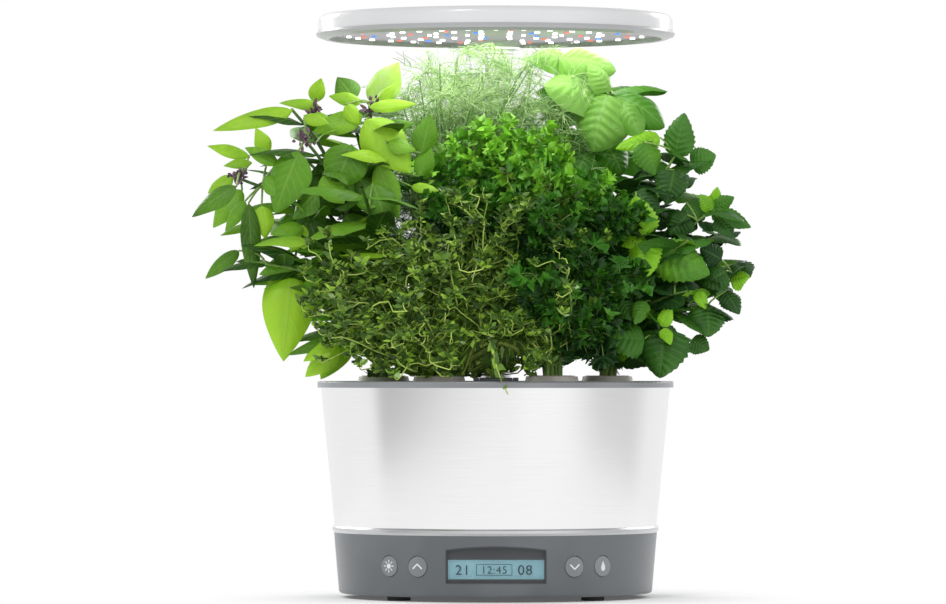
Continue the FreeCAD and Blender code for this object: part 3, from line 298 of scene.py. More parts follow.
# %% Give the parts their finishes
FINISHES = (
    (base_plastic, "base_housing"),
    (black_plastic, "base_floor bowl_seat button_brackets button_switches power_jack jack_cradle "
                    "lamp_socket lamp_plug post_bush"),
    (rim_plastic, "reservoir"),
    (bezel_plastic, "display_bezel"),
    (deck_plastic, "grow_deck fill_flap"),
    (pod_plastic, "grow_baskets"),
    (pump_plastic, "pump_body riser_tube deck_manifold float_rod"),
    (hood_plastic, "hood_collar hood_shell"),
    (ring_plastic, "bezel_ring"),
    (button_plastic, "button_light button_up button_down button_feed"),
    (rotor_plastic, "impeller"),
    (foot_rubber, "feet"),
    (lead_rubber, "power_lead"),
    (float_foam, "water_float"),
    (filter_foam, "intake_filter"),
    (circuit_green, "control_board"),
    (band_steel, "steel_sleeve"),
    (trim_silver, "trim_ring"),
    (post_silver, "column column_cap inner_post"),
    (screw_steel, "foot_screws pump_shaft flap_pin hood_screws"),
    (sink_alloy, "heat_sink"),
    (coil_copper, "pump_stator"),
    (panel_grey, "led_board"),
    (white_light, "white_leds"),
    (red_light, "red_leds"),
    (blue_light, "blue_leds"),
    (lcd_glass, "lcd_panel"),
    (lens_clear, "display_lens"),
)


def finish_part(node, material):
    mesh_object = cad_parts[node]
    if not mesh_object.material_slots:
        mesh_object.data.materials.append(material)
    for slot in mesh_object.material_slots:
        slot.link = "OBJECT"
        slot.material = material


for material, nodes in FINISHES:
    for node in nodes.split():
        finish_part(node, material)
print("finished parts:", sum(len(nodes.split()) for _, nodes in FINISHES))

# %% [markdown]
# New pieces are meshes made from plain lists of points and faces. Numbers that the shaders
# need, such as how far a point lies along its leaf, travel with the points as attributes.
# Each piece rides on a body of the frame and carries its one finish.

# %% A new piece from points and faces
def piece(name, points, faces, material, body, attributes=None, smooth=True):
    mesh = bpy.data.meshes.new(name)
    mesh.from_pydata(np.asarray(points, dtype=float).tolist(), [], [tuple(face) for face in faces])
    for key, values in (attributes or {}).items():
        layer = mesh.attributes.new(key, "FLOAT", "POINT")
        layer.data.foreach_set("value", np.asarray(values, dtype=np.float32))
    mesh.polygons.foreach_set("use_smooth", [smooth] * len(mesh.polygons))
    mesh.materials.append(material)
    made = bpy.data.objects.new(name, mesh)
    bpy.context.scene.collection.objects.link(made)
    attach(made, body)
    print(name, "has", len(faces), "faces")
    return made


# %% [markdown]
# The display shows plain numbers: a count of days, the time in a box, and a level. Each is
# real lettering, a tenth of a millimetre thick, laid on the clear lens. The garden carries
# no words at all.

# %% Ink and its place
def painted(name, scale, low, high, roughness):
    """A printed or painted colour, which varies only faintly."""
    shader = Shader(name)
    cloud = shader.noise(scale, 1.0)
    return shader.finish(base_color=shader.mix(cloud, low, high), roughness=roughness + cloud * 0.1)


display_ink = painted("display_ink", 200.0, (0.012, 0.035, 0.05), (0.02, 0.05, 0.07), 0.5)
lens_low, lens_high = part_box("display_lens")
INK_FACE = lens_low[1] - 0.00006
DISPLAY_MIDDLE = (lens_low[2] + lens_high[2]) / 2 - 0.0002
INK_HALF_THICK = 0.00005
STROKE_TRIM = 0.00004
FONT_SIZE_PER_HEIGHT = 1.42
LETTER_SPACE = 1.12
print("display middle at mm:", round(DISPLAY_MIDDLE / MM, 2))


# %% Numbers on the display
def number(name, text, x, height):
    """Lettering that stands upright in the display, centred on x."""
    lettering = bpy.data.curves.new(name, "FONT")
    lettering.body = text
    lettering.size = height * FONT_SIZE_PER_HEIGHT
    lettering.align_x = "CENTER"
    lettering.extrude = INK_HALF_THICK
    lettering.offset = -STROKE_TRIM
    lettering.space_character = LETTER_SPACE
    source = bpy.data.objects.new(name + "_source", lettering)
    bpy.context.scene.collection.objects.link(source)
    bpy.context.view_layer.update()
    mesh = bpy.data.meshes.new_from_object(source)
    bpy.data.objects.remove(source)
    points = [(x + p.co.x, INK_FACE - p.co.z, DISPLAY_MIDDLE - height / 2 + p.co.y)
              for p in mesh.vertices]
    faces = [tuple(face.vertices) for face in mesh.polygons]
    piece(name, points, faces, display_ink, "base", smooth=False)


def printed_box(name, low_x, high_x, half_height, width):
    """A thin printed outline round the middle of the display."""
    low_z, high_z = DISPLAY_MIDDLE - half_height, DISPLAY_MIDDLE + half_height
    points = []
    for inset in (0.0, width):
        points += [(low_x + inset, INK_FACE, low_z + inset), (high_x - inset, INK_FACE, low_z + inset),
                   (high_x - inset, INK_FACE, high_z - inset), (low_x + inset, INK_FACE, high_z - inset)]
    faces = [(n, (n + 1) % 4, (n + 1) % 4 + 4, n + 4) for n in range(4)]
    piece(name, points, faces, display_ink, "base", smooth=False)


number("display_days", "21", x=-0.0257, height=0.0076)
number("display_time", "12:45", x=-0.0014, height=0.0058)
number("display_level", "08", x=0.0223, height=0.0076)
printed_box("display_time_box", -0.0152, 0.0124, half_height=0.0043, width=0.00040)

# %% [markdown]
# Each button carries a raised white sign: a small sun for the lamp, an arrow up, an arrow
# down, and a drop for plant food. A sign is a set of flat outlines drawn on the button's
# face, then carried round with the button's own angle. Outlines with a little thickness
# stay sharp at any distance, which a picture on the face would not.

# %% Outlines of the signs, in millimetres
def stroke(start, end, width):
    """A straight bar between two points, as four corners."""
    start, end = Vector(start), Vector(end)
    side = (end - start).normalized().orthogonal() * width / 2
    return [start + side, start - side, end - side, end + side]


def disc(radius, sides=28):
    turns = [2 * math.pi * n / sides for n in range(sides)]
    return [Vector((radius * math.cos(turn), radius * math.sin(turn))) for turn in turns]


def sun_sign():
    return [disc(2.0)] + [stroke(start, end, 0.8) for start, end in zip(disc(2.8, 8), disc(4.9, 8))]


def arrow_sign(way):
    tip = (0, 2.0 * way)
    return [stroke((-4.0, -1.7 * way), tip, 1.15), stroke(tip, (4.0, -1.7 * way), 1.15)]


def drop_sign():
    turns = [2 * math.pi * n / 32 for n in range(32)]
    return [[Vector((2.8 * math.sin(turn) * math.sin(turn / 2) ** 1.4, 3.9 * math.cos(turn) + 0.2))
             for turn in turns]]


# %% Raise the signs on the buttons
BUTTON_FACE = 0.12560        # from the garden's axis
BUTTON_LEVEL = 0.0273
OUTER_BUTTON = 41.1
INNER_BUTTON = 28.8
SIGN_THICK = 0.00018
SIGN_SUNK = 0.00005
sign_white = painted("sign_white", 500.0, (0.78, 0.79, 0.80), (0.86, 0.87, 0.88), 0.4)


def sign(word, degrees, outlines):
    """Raised outlines on a button whose face looks out at an angle from the garden's axis."""
    angle = math.radians(degrees)
    outward = Vector((math.sin(angle), -math.cos(angle), 0))
    across = Vector((math.cos(angle), math.sin(angle), 0))
    points, faces = [], []
    for outline in outlines:
        start = len(points)
        count = len(outline)
        for lift in (-SIGN_SUNK, SIGN_THICK):
            for corner in outline:
                spot = outward * (BUTTON_FACE + lift) + across * corner[0] * MM
                points.append((spot.x, spot.y, BUTTON_LEVEL + corner[1] * MM))
        faces.append([start + count + n for n in range(count)])
        faces += [(start + n, start + (n + 1) % count, start + count + (n + 1) % count, start + count + n)
                  for n in range(count)]
    piece(f"button_{word}_sign", points, faces, sign_white, f"{word}_button", smooth=False)


sign("light", -OUTER_BUTTON, sun_sign())
sign("up", -INNER_BUTTON, arrow_sign(1))
sign("down", INNER_BUTTON, arrow_sign(-1))
sign("feed", OUTER_BUTTON, drop_sign())

# %% [markdown]
# Leaves are sheets, and a leaf's look is mostly its veins, its gentle cup and the light
# that comes through it. Each leaf is a small grid of points from its base to its tip. Its
# outline is a formula for half its width, and it bends, cups and puckers by formulas too.
# `Bed` gathers many leaves into one mesh, with attributes for the shader.

# %% Gather leaves and stems
class Bed:
    """Points and faces of many small pieces, with how far along, how far across, and their tone."""

    def __init__(self):
        self.points, self.faces = [], []
        self.along, self.across, self.tone = [], [], []
        self.count = 0

    def grid(self, cells, along, across, tone, closed=False):
        """Add a grid of points, shaped rows by columns by three."""
        rows, columns = cells.shape[:2]
        numbers = np.arange(rows * columns).reshape(rows, columns) + self.count
        if closed:
            numbers = np.concatenate([numbers, numbers[:, :1]], axis=1)
        quads = np.stack([numbers[:-1, :-1], numbers[:-1, 1:], numbers[1:, 1:], numbers[1:, :-1]], axis=-1)
        self.points.append(cells.reshape(-1, 3))
        self.faces.append(quads.reshape(-1, 4))
        self.along.append(np.broadcast_to(along, (rows, columns)).ravel())
        self.across.append(np.broadcast_to(across, (rows, columns)).ravel())
        self.tone.append(np.full(rows * columns, tone))
        self.count += rows * columns

    def tube(self, path, low_radius, high_radius, tone, sides=5):
        """A tapering stem along a path of points."""
        path = np.asarray(path, dtype=float)
        run = np.gradient(path, axis=0)
        run /= np.linalg.norm(run, axis=1, keepdims=True) + 1e-12
        guide = np.array([0.31, 0.88, 0.36])
        side = np.cross(run, guide)
        side /= np.linalg.norm(side, axis=1, keepdims=True) + 1e-12
        other = np.cross(run, side)
        turns = np.linspace(0, 2 * math.pi, sides, endpoint=False)
        radius = np.linspace(low_radius, high_radius, len(path))[:, None, None]
        ring = np.cos(turns)[None, :, None] * side[:, None] + np.sin(turns)[None, :, None] * other[:, None]
        share = np.linspace(0, 1, len(path))[:, None]
        self.grid(path[:, None] + ring * radius, share, turns[None] * 0, tone, closed=True)

    def make(self, name, material, body, slot):
        attributes = {"along": np.concatenate(self.along), "across": np.concatenate(self.across),
                      "tone": np.concatenate(self.tone)}
        return piece(name, np.concatenate(self.points), np.concatenate(self.faces).tolist(), material,
                     body, attributes)


# %% [markdown]
# A leaf is placed by its base, its tip, and the way its face looks. `bend` arches it over
# its length, `cup` lifts or drops its edges, `pucker` raises the soft pillows between the
# veins, `teeth` saws its edge, and `wave` ripples it.

# %% One leaf
def blade(bed, rng, base, tip, facing, width, tone, shape, bend=0.12, cup=0.18, pucker=0.0,
          teeth=0, rows=13, columns=9, wave=0.0):
    base, tip, facing = (np.asarray(v, dtype=float) for v in (base, tip, facing))
    forward = tip - base
    length = np.linalg.norm(forward)
    forward = forward / length
    side = np.cross(facing, forward)
    side /= np.linalg.norm(side) + 1e-9
    up = np.cross(forward, side)
    u = np.linspace(0, 1, rows)[:, None]
    v = np.linspace(-1, 1, columns)[None, :]
    half = shape(u) * width / 2
    if teeth:
        saw = (u * teeth) % 1.0
        half = half * (1 + 0.16 * (saw - 0.5) * (np.abs(v) > 0.85))
    veins = np.cos((u * 7.0 - np.abs(v) * 1.6) * 2 * math.pi)
    lift = bend * length * 4 * u * (1 - u) - cup * width * v ** 2 * shape(u)
    lift = lift - 0.06 * width * (1 - np.abs(v)) ** 3 * shape(u)
    lift = lift + pucker * width * veins * (1 - v ** 2) * np.abs(v) ** 0.5 * shape(u)
    phase = rng.uniform(0, 6.28, 2)
    lift = lift + wave * width * np.sin(u * 9 + phase[0] + v * 1.3) * v ** 2 * shape(u)
    twist = rng.uniform(-0.25, 0.25) * u
    across = v * half * np.cos(twist)
    lift = lift + v * half * np.sin(twist)
    cells = base + forward * (u * length)[..., None] + side * across[..., None] + up * lift[..., None]
    bed.grid(cells, u, v, tone)


def lance(u):
    return np.sin(math.pi * np.clip(u, 0, 1) ** 0.78) ** 0.85 * (1 - 0.12 * u)


def oval(u):
    return np.sin(math.pi * np.clip(u, 0, 1) ** 0.70) ** 0.62


def heart(u):
    return np.sin(math.pi * np.clip(u, 0, 1) ** 0.60) ** 0.72


# %% [markdown]
# The leaf finish draws a pale midrib and side veins from the leaf's own attributes, drifts
# between a shadowed and a sunlit green by its tone, and adds a little of its own light.
# That last touch stands for daylight coming through, which thin leaves show so strongly.

# %% Leaf and stem finishes
# Painted highlight: the pale green that the most sunlit leaves fade to stands for the lamp's glare burning
# them out.
LAMP_GLARE_GREEN = (0.42, 0.56, 0.30)


def leaf_finish(name, shade, middle, sun, vein, veins, slant, gloss, crinkle, glow=0.04,
                crinkle_scale=260.0, vein_share=0.22):
    shader = Shader(name)
    along = shader.attribute("along")
    across = abs(shader.attribute("across"))
    tone = shader.attribute("tone")
    turns = along * veins - across * slant
    ribs = abs(turns.maths("FRACT", turns) - 0.5)
    rib_mask = (1 - ribs.ramp(0.02, 0.16)) * 0.55
    midrib = 1 - across.ramp(0.02, 0.10)
    lines = midrib.maths("MAXIMUM", rib_mask, midrib)
    crease = shader.noise(crinkle_scale, 3.0)
    patch = shader.noise(38.0, 2.0)
    level = tone + (patch - 0.5) * 0.35 + (crease - 0.5) * 0.15
    green = shader.mix(level.ramp(0.0, 0.55), shade, middle)
    green = shader.mix(level.ramp(0.50, 1.0), green, sun)
    # Painted highlight: above full sun, the green fades towards the lamp's glare.
    green = shader.mix(level.ramp(1.0, 1.35), green, LAMP_GLARE_GREEN)
    green = shader.mix(lines * vein_share, green, vein)
    height = crease * crinkle - lines * 0.5
    return shader.finish(base_color=green, roughness=gloss + crease * 0.15, emission_color=green,
                         normal=shader.bump(height, 0.55, 0.0006), emission_strength=glow,
                         specular_ior_level=0.28)


# Stems, dill threads and buds are painted light too: their tone moves them from a shaded to a sunlit
# colour.
def stem_finish(name, shade, sun):
    shader = Shader(name)
    streak = shader.noise(1.0, 3.0, shader.stretched(500.0, 500.0, 60.0))
    level = shader.attribute("tone") + (streak - 0.5) * 0.5
    return shader.finish(base_color=shader.mix(level.ramp(0.0, 1.0), shade, sun),
                         roughness=0.45 + streak * 0.1, normal=shader.bump(streak, 0.3, 0.0003))


# %% The greens, from deep shade to sunlit, and the colour of the veins
thai_leaf = leaf_finish("thai_leaf", (0.014, 0.060, 0.006), (0.125, 0.330, 0.018), (0.36, 0.66, 0.03),
                        (0.36, 0.56, 0.12), veins=7.0, slant=2.2, gloss=0.33, crinkle=0.3, glow=0.05)
sweet_leaf = leaf_finish("sweet_leaf", (0.020, 0.100, 0.005), (0.085, 0.30, 0.018), (0.23, 0.50, 0.08),
                         (0.40, 0.62, 0.22), veins=5.0, slant=1.9, gloss=0.28, crinkle=0.25)
mint_leaf = leaf_finish("mint_leaf", (0.010, 0.046, 0.010), (0.062, 0.215, 0.020), (0.26, 0.60, 0.018),
                        (0.14, 0.32, 0.05), veins=8.0, slant=1.5, gloss=0.34, crinkle=1.6,
                        crinkle_scale=420.0, vein_share=0.30)
parsley_leaf = leaf_finish("parsley_leaf", (0.006, 0.036, 0.004), (0.055, 0.225, 0.013),
                           (0.27, 0.64, 0.04), (0.14, 0.36, 0.05), veins=3.0, slant=0.5, gloss=0.34,
                           crinkle=0.6)
thyme_leaf = leaf_finish("thyme_leaf", (0.014, 0.042, 0.009), (0.100, 0.205, 0.032),
                         (0.38, 0.64, 0.06), (0.25, 0.34, 0.10), veins=2.0, slant=0.4, gloss=0.46,
                         crinkle=0.3)
dill_leaf = stem_finish("dill_leaf", (0.085, 0.250, 0.030), (0.60, 0.84, 0.36))
green_stem = stem_finish("green_stem", (0.035, 0.110, 0.010), (0.34, 0.56, 0.12))
thyme_stem = stem_finish("thyme_stem", (0.150, 0.240, 0.030), (0.60, 0.80, 0.16))
bud_purple = stem_finish("bud_purple", (0.045, 0.018, 0.035), (0.26, 0.15, 0.20))

# %% [markdown]
# Every herb grows from its pod on the deck. `curve` bends a stem from one point to another,
# leaving the pod upright, and `nearest` finds where a leaf's stalk joins the stems, so that
# no leaf hangs in the air. From here on, herbs are measured in millimetres.

# %% Stems
POD_CIRCLE = 88.0
POD_TOP = 171.0
STALK_DROP = 4.0


def pod(degrees):
    angle = math.radians(degrees)
    return np.array([POD_CIRCLE * math.cos(angle), POD_CIRCLE * math.sin(angle), POD_TOP])


def curve(start, end, rise=0.5, steps=12):
    """A stem that leaves start upright and bends over to end."""
    start, end = np.asarray(start, dtype=float), np.asarray(end, dtype=float)
    height = np.linalg.norm(end - start)
    control = start + np.array([0, 0, height * rise]) + (end - start) * 0.12
    t = np.linspace(0, 1, steps)[:, None]
    return (1 - t) ** 2 * start + 2 * t * (1 - t) * control + t ** 2 * end


def nearest(paths, spot):
    """The point on the stems that is closest to a place a little below a spot."""
    every = np.concatenate(paths)
    wanted = np.asarray(spot, dtype=float) - np.array([0, 0, STALK_DROP])
    return every[np.argmin(np.linalg.norm(every - wanted, axis=1))]


def random_facing(rng, lean):
    """A direction near straight up, leaning out by a share."""
    angle = rng.uniform(0, 2 * math.pi)
    return np.array([lean * math.cos(angle), lean * math.sin(angle), 1.0])


# %% [markdown]
# Growth makes room for the garden's own parts: it is parted round the lamp's post, and lies
# over the filling flap, clear of the flap's swing. Stems and leaves share their pod's body.

# %% How herbs are fixed
POST_PLACE = (0.0, 106.0)
POST_BERTH = 23.0
FLAP_HALF_WIDTH, FLAP_FRONT, FLAP_BACK, FLAP_CLEAR = 17.0, -126.0, -86.0, 202.0
FLAP_SLOPE = 9


def soft_step(value, low, high):
    t = np.clip((value - low) / (high - low), 0, 1)
    return t * t * (3 - 2 * t)


def in_metres(bed):
    """Part the growth round the lamp's post, drape it over the filling flap, and turn it to metres."""
    for number, part in enumerate(bed.points):
        part = part.copy()
        away = part[:, :2] - POST_PLACE
        reach = np.linalg.norm(away, axis=1) + 1e-6
        wanted = (reach ** 4 + POST_BERTH ** 4) ** 0.25
        part[:, :2] = POST_PLACE + away * (wanted / reach)[:, None]
        over = soft_step(-np.abs(part[:, 0]), -FLAP_HALF_WIDTH - FLAP_SLOPE, -FLAP_HALF_WIDTH)
        over = over * soft_step(part[:, 1], FLAP_FRONT - FLAP_SLOPE, FLAP_FRONT)
        over = over * soft_step(-part[:, 1], -FLAP_BACK - FLAP_SLOPE, -FLAP_BACK)
        part[:, 2] += over * np.maximum(0, FLAP_CLEAR - part[:, 2])
        bed.points[number] = part * MM
    return bed


def plant(herb, part, bed, finish):
    """Make one piece of a herb."""
    made = in_metres(bed).make(f"{herb}_{part}", finish, "bowl", f"{herb}_leaf")
    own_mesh(made)
    return made


# %% [markdown]
# The basils and the mint grow alike: main stems first, then leaves placed one by one
# where the viewer sees them, and pairs of leaves up the stems to fill in behind. Three small
# helpers do this for all of them. A pair's leaf is dropped if its tip would leave the herb's
# own room, given as the low and the high corner of a box.

# %% How the basils and the mint grow
def main_stems(rng, stems, foot, tops, rise, spread, radii, tones, sides):
    """Stems from one foot up to each top."""
    paths = [curve(foot + rng.uniform(-spread, spread, 3) * (1, 1, 0), top, rise) for top in tops]
    for path in paths:
        stems.tube(path, *radii, rng.uniform(*tones), sides)
    return paths


def placed_leaves(rng, stems, paths, rows, rise, radii, stalk_tone, deeper, turn, upturn):
    """Each placed leaf's base, tip, facing, width and tone, with a stalk from the nearest stem."""
    for base_x, base_z, tip_x, tip_z, depth, width, tone in rows:
        base = np.array([base_x, depth, base_z])
        tip = np.array([tip_x, depth + rng.uniform(*deeper), tip_z])
        stems.tube(curve(nearest(paths, base), base, rise, 6), *radii, stalk_tone, 5)
        facing = np.array([rng.uniform(-turn, turn), -1.0, rng.uniform(*upturn)])
        yield base, tip, facing, width, tone


def leaf_pairs(rng, paths, steps, turn, sway, lengths, droop, room):
    """The start, tip and length of each leaf of the pairs up the stems."""
    low, high = room
    for path in paths:
        for step in steps:
            for side in (0, math.pi):
                angle = step * turn + side + rng.uniform(-sway, sway)
                length = rng.uniform(*lengths)
                out = np.array([math.cos(angle), math.sin(angle), rng.uniform(*droop)])
                tip = path[step] + out * length
                if np.all(tip >= low) and np.all(tip <= high):
                    yield path[step], tip, length


# %% [markdown]
# ## Thai basil, on the left
# Its long blades hang in pairs from the main stems, with dark flower buds near four tops. The
# leaves nearest the viewer are placed one by one, and the rest fill in behind by pairs.
# Each row of leaves is in millimetres: base x and z, tip x and z, depth, width and tone. The tone
# is painted light: it says how shaded or sunlit the leaf is painted.

# %% Where the Thai basil stands
THAI_TOPS = [(-160, -12, 383), (-99, -18, 387), (-148, -34, 357), (-200, -22, 328), (-157, -28, 264),
             (-116, -14, 210), (-120, 30, 395), (-190, 34, 300), (-150, 60, 345), (-95, 44, 360),
             (-130, -40, 240), (-190, 62, 262), (-130, 74, 290), (-196, -52, 262), (-150, -78, 282),
             (-104, -78, 320), (-112, 62, 250), (-165, 20, 330), (-84, 10, 330)]
THAI_LEAVES = [
    (-159, 382, -222, 366, -14, 17, 0.85), (-137, 385, -170, 388, -8, 10, 0.80),
    (-143, 389, -137, 408, 0, 14, 0.90), (-111, 392, -125, 410, 14, 23, 0.35),
    (-98, 388, -76, 421, -4, 31, 1.10), (-97, 382, -76, 404, -16, 14, 0.85),
    (-104, 378, -143, 365, -26, 20, 0.72), (-102, 374, -66, 332, -34, 38, 0.82),
    (-84, 342, -121, 346, -38, 13, 0.95), (-92, 339, -76, 296, -36, 22, 0.62),
    (-154, 349, -172, 300, -44, 36, 0.42), (-193, 346, -226, 354, -18, 13, 0.85),
    (-191, 341, -213, 338, -24, 9, 0.75), (-201, 321, -236, 297, -72, 18, 0.30),
    (-206, 330, -226, 317, -14, 14, 0.85), (-199, 320, -222, 290, -10, 20, 0.66),
    (-196, 311, -212, 287, -24, 13, 0.55), (-193, 309, -189, 242, -34, 17, 0.22),
    (-183, 307, -180, 281, -28, 18, 0.92), (-159, 262, -166, 185, -26, 44, 0.96),
    (-123, 204, -162, 190, -34, 12, 0.30), (-124, 202, -150, 185, -40, 17, 0.95),
    (-122, 196, -149, 173, -30, 20, 0.92), (-115, 208, -137, 171, -20, 24, 0.86),
    (-154, 264, -185, 253, -30, 16, 0.60), (-201, 272, -228, 250, -16, 13, 0.35),
    (-124, 348, -112, 312, -20, 30, 0.45), (-140, 340, -120, 300, -10, 34, 0.25),
    (-150, 305, -135, 268, -22, 26, 0.22), (-165, 300, -150, 268, -10, 24, 0.40),
    (-118, 300, -95, 270, -24, 24, 0.30), (-92, 388, -70, 384, -20, 10, 0.85),
    (-95, 366, -64, 372, -10, 16, 0.55), (-108, 330, -84, 300, -30, 22, 0.20),
    (-60, 330, -50, 352, -30, 17, 0.50), (-66, 322, -44, 318, -34, 10, 0.80),
    (-128, 250, -110, 226, -30, 20, 0.35), (-110, 236, -96, 206, -36, 22, 0.30),
    (-104, 200, -84, 180, -40, 18, 0.60), (-150, 292, -160, 270, -30, 16, 0.88),
    (-105, 388, -131, 393, -24, 12, 0.80), (-99, 384, -62, 387, -26, 12, 0.88),
    (-117, 386, -107, 370, -32, 13, 0.92), (-150, 376, -130, 371, -30, 11, 0.85),
    (-128, 372, -151, 378, -22, 12, 0.78), (-178, 346, -188, 368, -20, 15, 0.95),
    (-112, 354, -126, 318, -42, 38, 0.36), (-96, 324, -86, 292, -44, 30, 0.30),
    (-58, 348, -51, 378, -34, 22, 0.36), (-135, 330, -118, 308, -40, 22, 0.66),
    (-170, 340, -196, 352, -34, 14, 0.62), (-180, 330, -160, 312, -38, 20, 0.52),
    (-140, 318, -158, 296, -40, 24, 0.34), (-84, 356, -62, 350, -38, 16, 0.62),
    (-150, 290, -176, 284, -36, 16, 0.58), (-146, 262, -128, 236, -40, 20, 0.40),
]
THAI_BUDS = [(-142, -14, 380), (-148, -36, 357), (-201, -28, 329), (-97, -20, 383)]
THAI_ROOM = ((-230, -96, 176), (-56, math.inf, math.inf))
print("Thai basil:", len(THAI_TOPS), "stems and", len(THAI_LEAVES), "placed leaves")


# %% Grow the Thai basil
def thai_basil():
    rng = np.random.default_rng(11)
    leaves, stems, buds = Bed(), Bed(), Bed()
    paths = main_stems(rng, stems, pod(180), THAI_TOPS, rise=0.55, spread=4, radii=(2.6, 1.2),
                       tones=(0.1, 0.6), sides=7)
    for base, tip, facing, width, tone in placed_leaves(
            rng, stems, paths, THAI_LEAVES, rise=0.25, radii=(1.1, 0.8), stalk_tone=0.6, deeper=(-10, 6),
            turn=0.3, upturn=(0.25, 0.7)):
        blade(leaves, rng, base, tip, facing, width, tone, lance, bend=rng.uniform(0.04, 0.14), cup=0.20,
              pucker=0.012, rows=17, wave=0.05)
    for start, tip, length in leaf_pairs(rng, paths, range(3, 11), turn=1.6, sway=0.3, lengths=(38, 58),
                                         droop=(-0.35, 0.35), room=THAI_ROOM):
        tone = rng.uniform(0.05, 0.45) + 0.4 * (rng.random() < 0.25)
        blade(leaves, rng, start, tip, random_facing(rng, 0.5), length * 0.40, tone, lance, bend=0.10,
              cup=0.2, pucker=0.01, wave=0.05)
    for middle in THAI_BUDS:
        for _ in range(26):
            spot = np.array(middle) + rng.normal(0, 1, 3) * (3.4, 3.0, 3.0)
            blade(buds, rng, spot, spot + rng.normal(0, 1, 3) * 3 + (0, -1, 2), (0, -1, 0.4), 3.0,
                  rng.uniform(0, 1), oval, bend=0.2, cup=0.3, rows=5, columns=5)
    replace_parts(plant("thai_basil", "leaves", leaves, thai_leaf), "herb_thai_basil")
    plant("thai_basil", "stems", stems, green_stem)
    plant("thai_basil", "buds", buds, bud_purple)


thai_basil()

# %% [markdown]
# ## Sweet basil, at the rear right
# Its leaves are wide, cupped like spoons and softly puckered, and those under the lamp are
# nearly white with light.

# %% Where the sweet basil stands
SWEET_TOPS = [(88, 34, 396), (62, 40, 418), (120, 44, 372), (50, 62, 392), (96, 84, 380), (34, 70, 360),
              (110, 60, 330), (112, 112, 352), (74, 140, 356), (40, 134, 372), (96, 146, 306),
              (56, 164, 290), (34, 150, 320), (128, 84, 280), (80, 110, 400), (84, 70, 250)]
SWEET_LEAVES = [
    (50, 424, 95, 414, 10, 30, 1.00), (88, 395, 77, 350, -6, 46, 0.86), (87, 397, 38, 402, 8, 42, 1.05),
    (90, 397, 73, 419, 0, 20, 1.00), (93, 395, 133, 369, 6, 28, 0.45), (98, 390, 114, 362, -2, 24, 0.75),
    (60, 384, 34, 390, 16, 26, 0.60), (88, 356, 100, 332, 10, 26, 0.30), (70, 352, 46, 345, 14, 30, 0.35),
    (62, 420, 30, 428, 22, 24, 1.10), (72, 350, 60, 322, 4, 30, 0.25),
]
SWEET_ROOM = ((6, 8, -math.inf), (150, 196, 430))
print("sweet basil:", len(SWEET_TOPS), "stems and", len(SWEET_LEAVES), "placed leaves")


# %% Grow the sweet basil
def sweet_basil():
    rng = np.random.default_rng(23)
    leaves, stems = Bed(), Bed()
    paths = main_stems(rng, stems, pod(60), SWEET_TOPS, rise=0.5, spread=4, radii=(2.8, 1.5),
                       tones=(0.2, 0.7), sides=7)
    for base, tip, facing, width, tone in placed_leaves(
            rng, stems, paths, SWEET_LEAVES, rise=0.25, radii=(1.3, 1.0), stalk_tone=0.7, deeper=(-12, 2),
            turn=0.2, upturn=(0.5, 0.9)):
        blade(leaves, rng, base, tip, facing, width * 1.1, tone, oval, bend=0.20, cup=0.38,
              pucker=0.045, rows=37, columns=21, wave=0.06)
    for start, tip, length in leaf_pairs(rng, paths, range(3, 12, 2), turn=1.1, sway=0.3,
                                         lengths=(44, 62), droop=(-0.3, 0.35), room=SWEET_ROOM):
        blade(leaves, rng, start, tip, random_facing(rng, 0.4), length * 0.66, rng.uniform(0.2, 0.8),
              oval, bend=0.14, cup=0.28, pucker=0.03, rows=17, columns=11, wave=0.04)
    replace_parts(plant("sweet_basil", "leaves", leaves, sweet_leaf), "herb_sweet_basil")
    plant("sweet_basil", "stems", stems, green_stem)


sweet_basil()

# %% [markdown]
# ## Mint, on the right
# Mint leaves are toothed and deeply crinkled, dark where they shade each other, and a sharp
# yellow-green where the light comes through from behind.

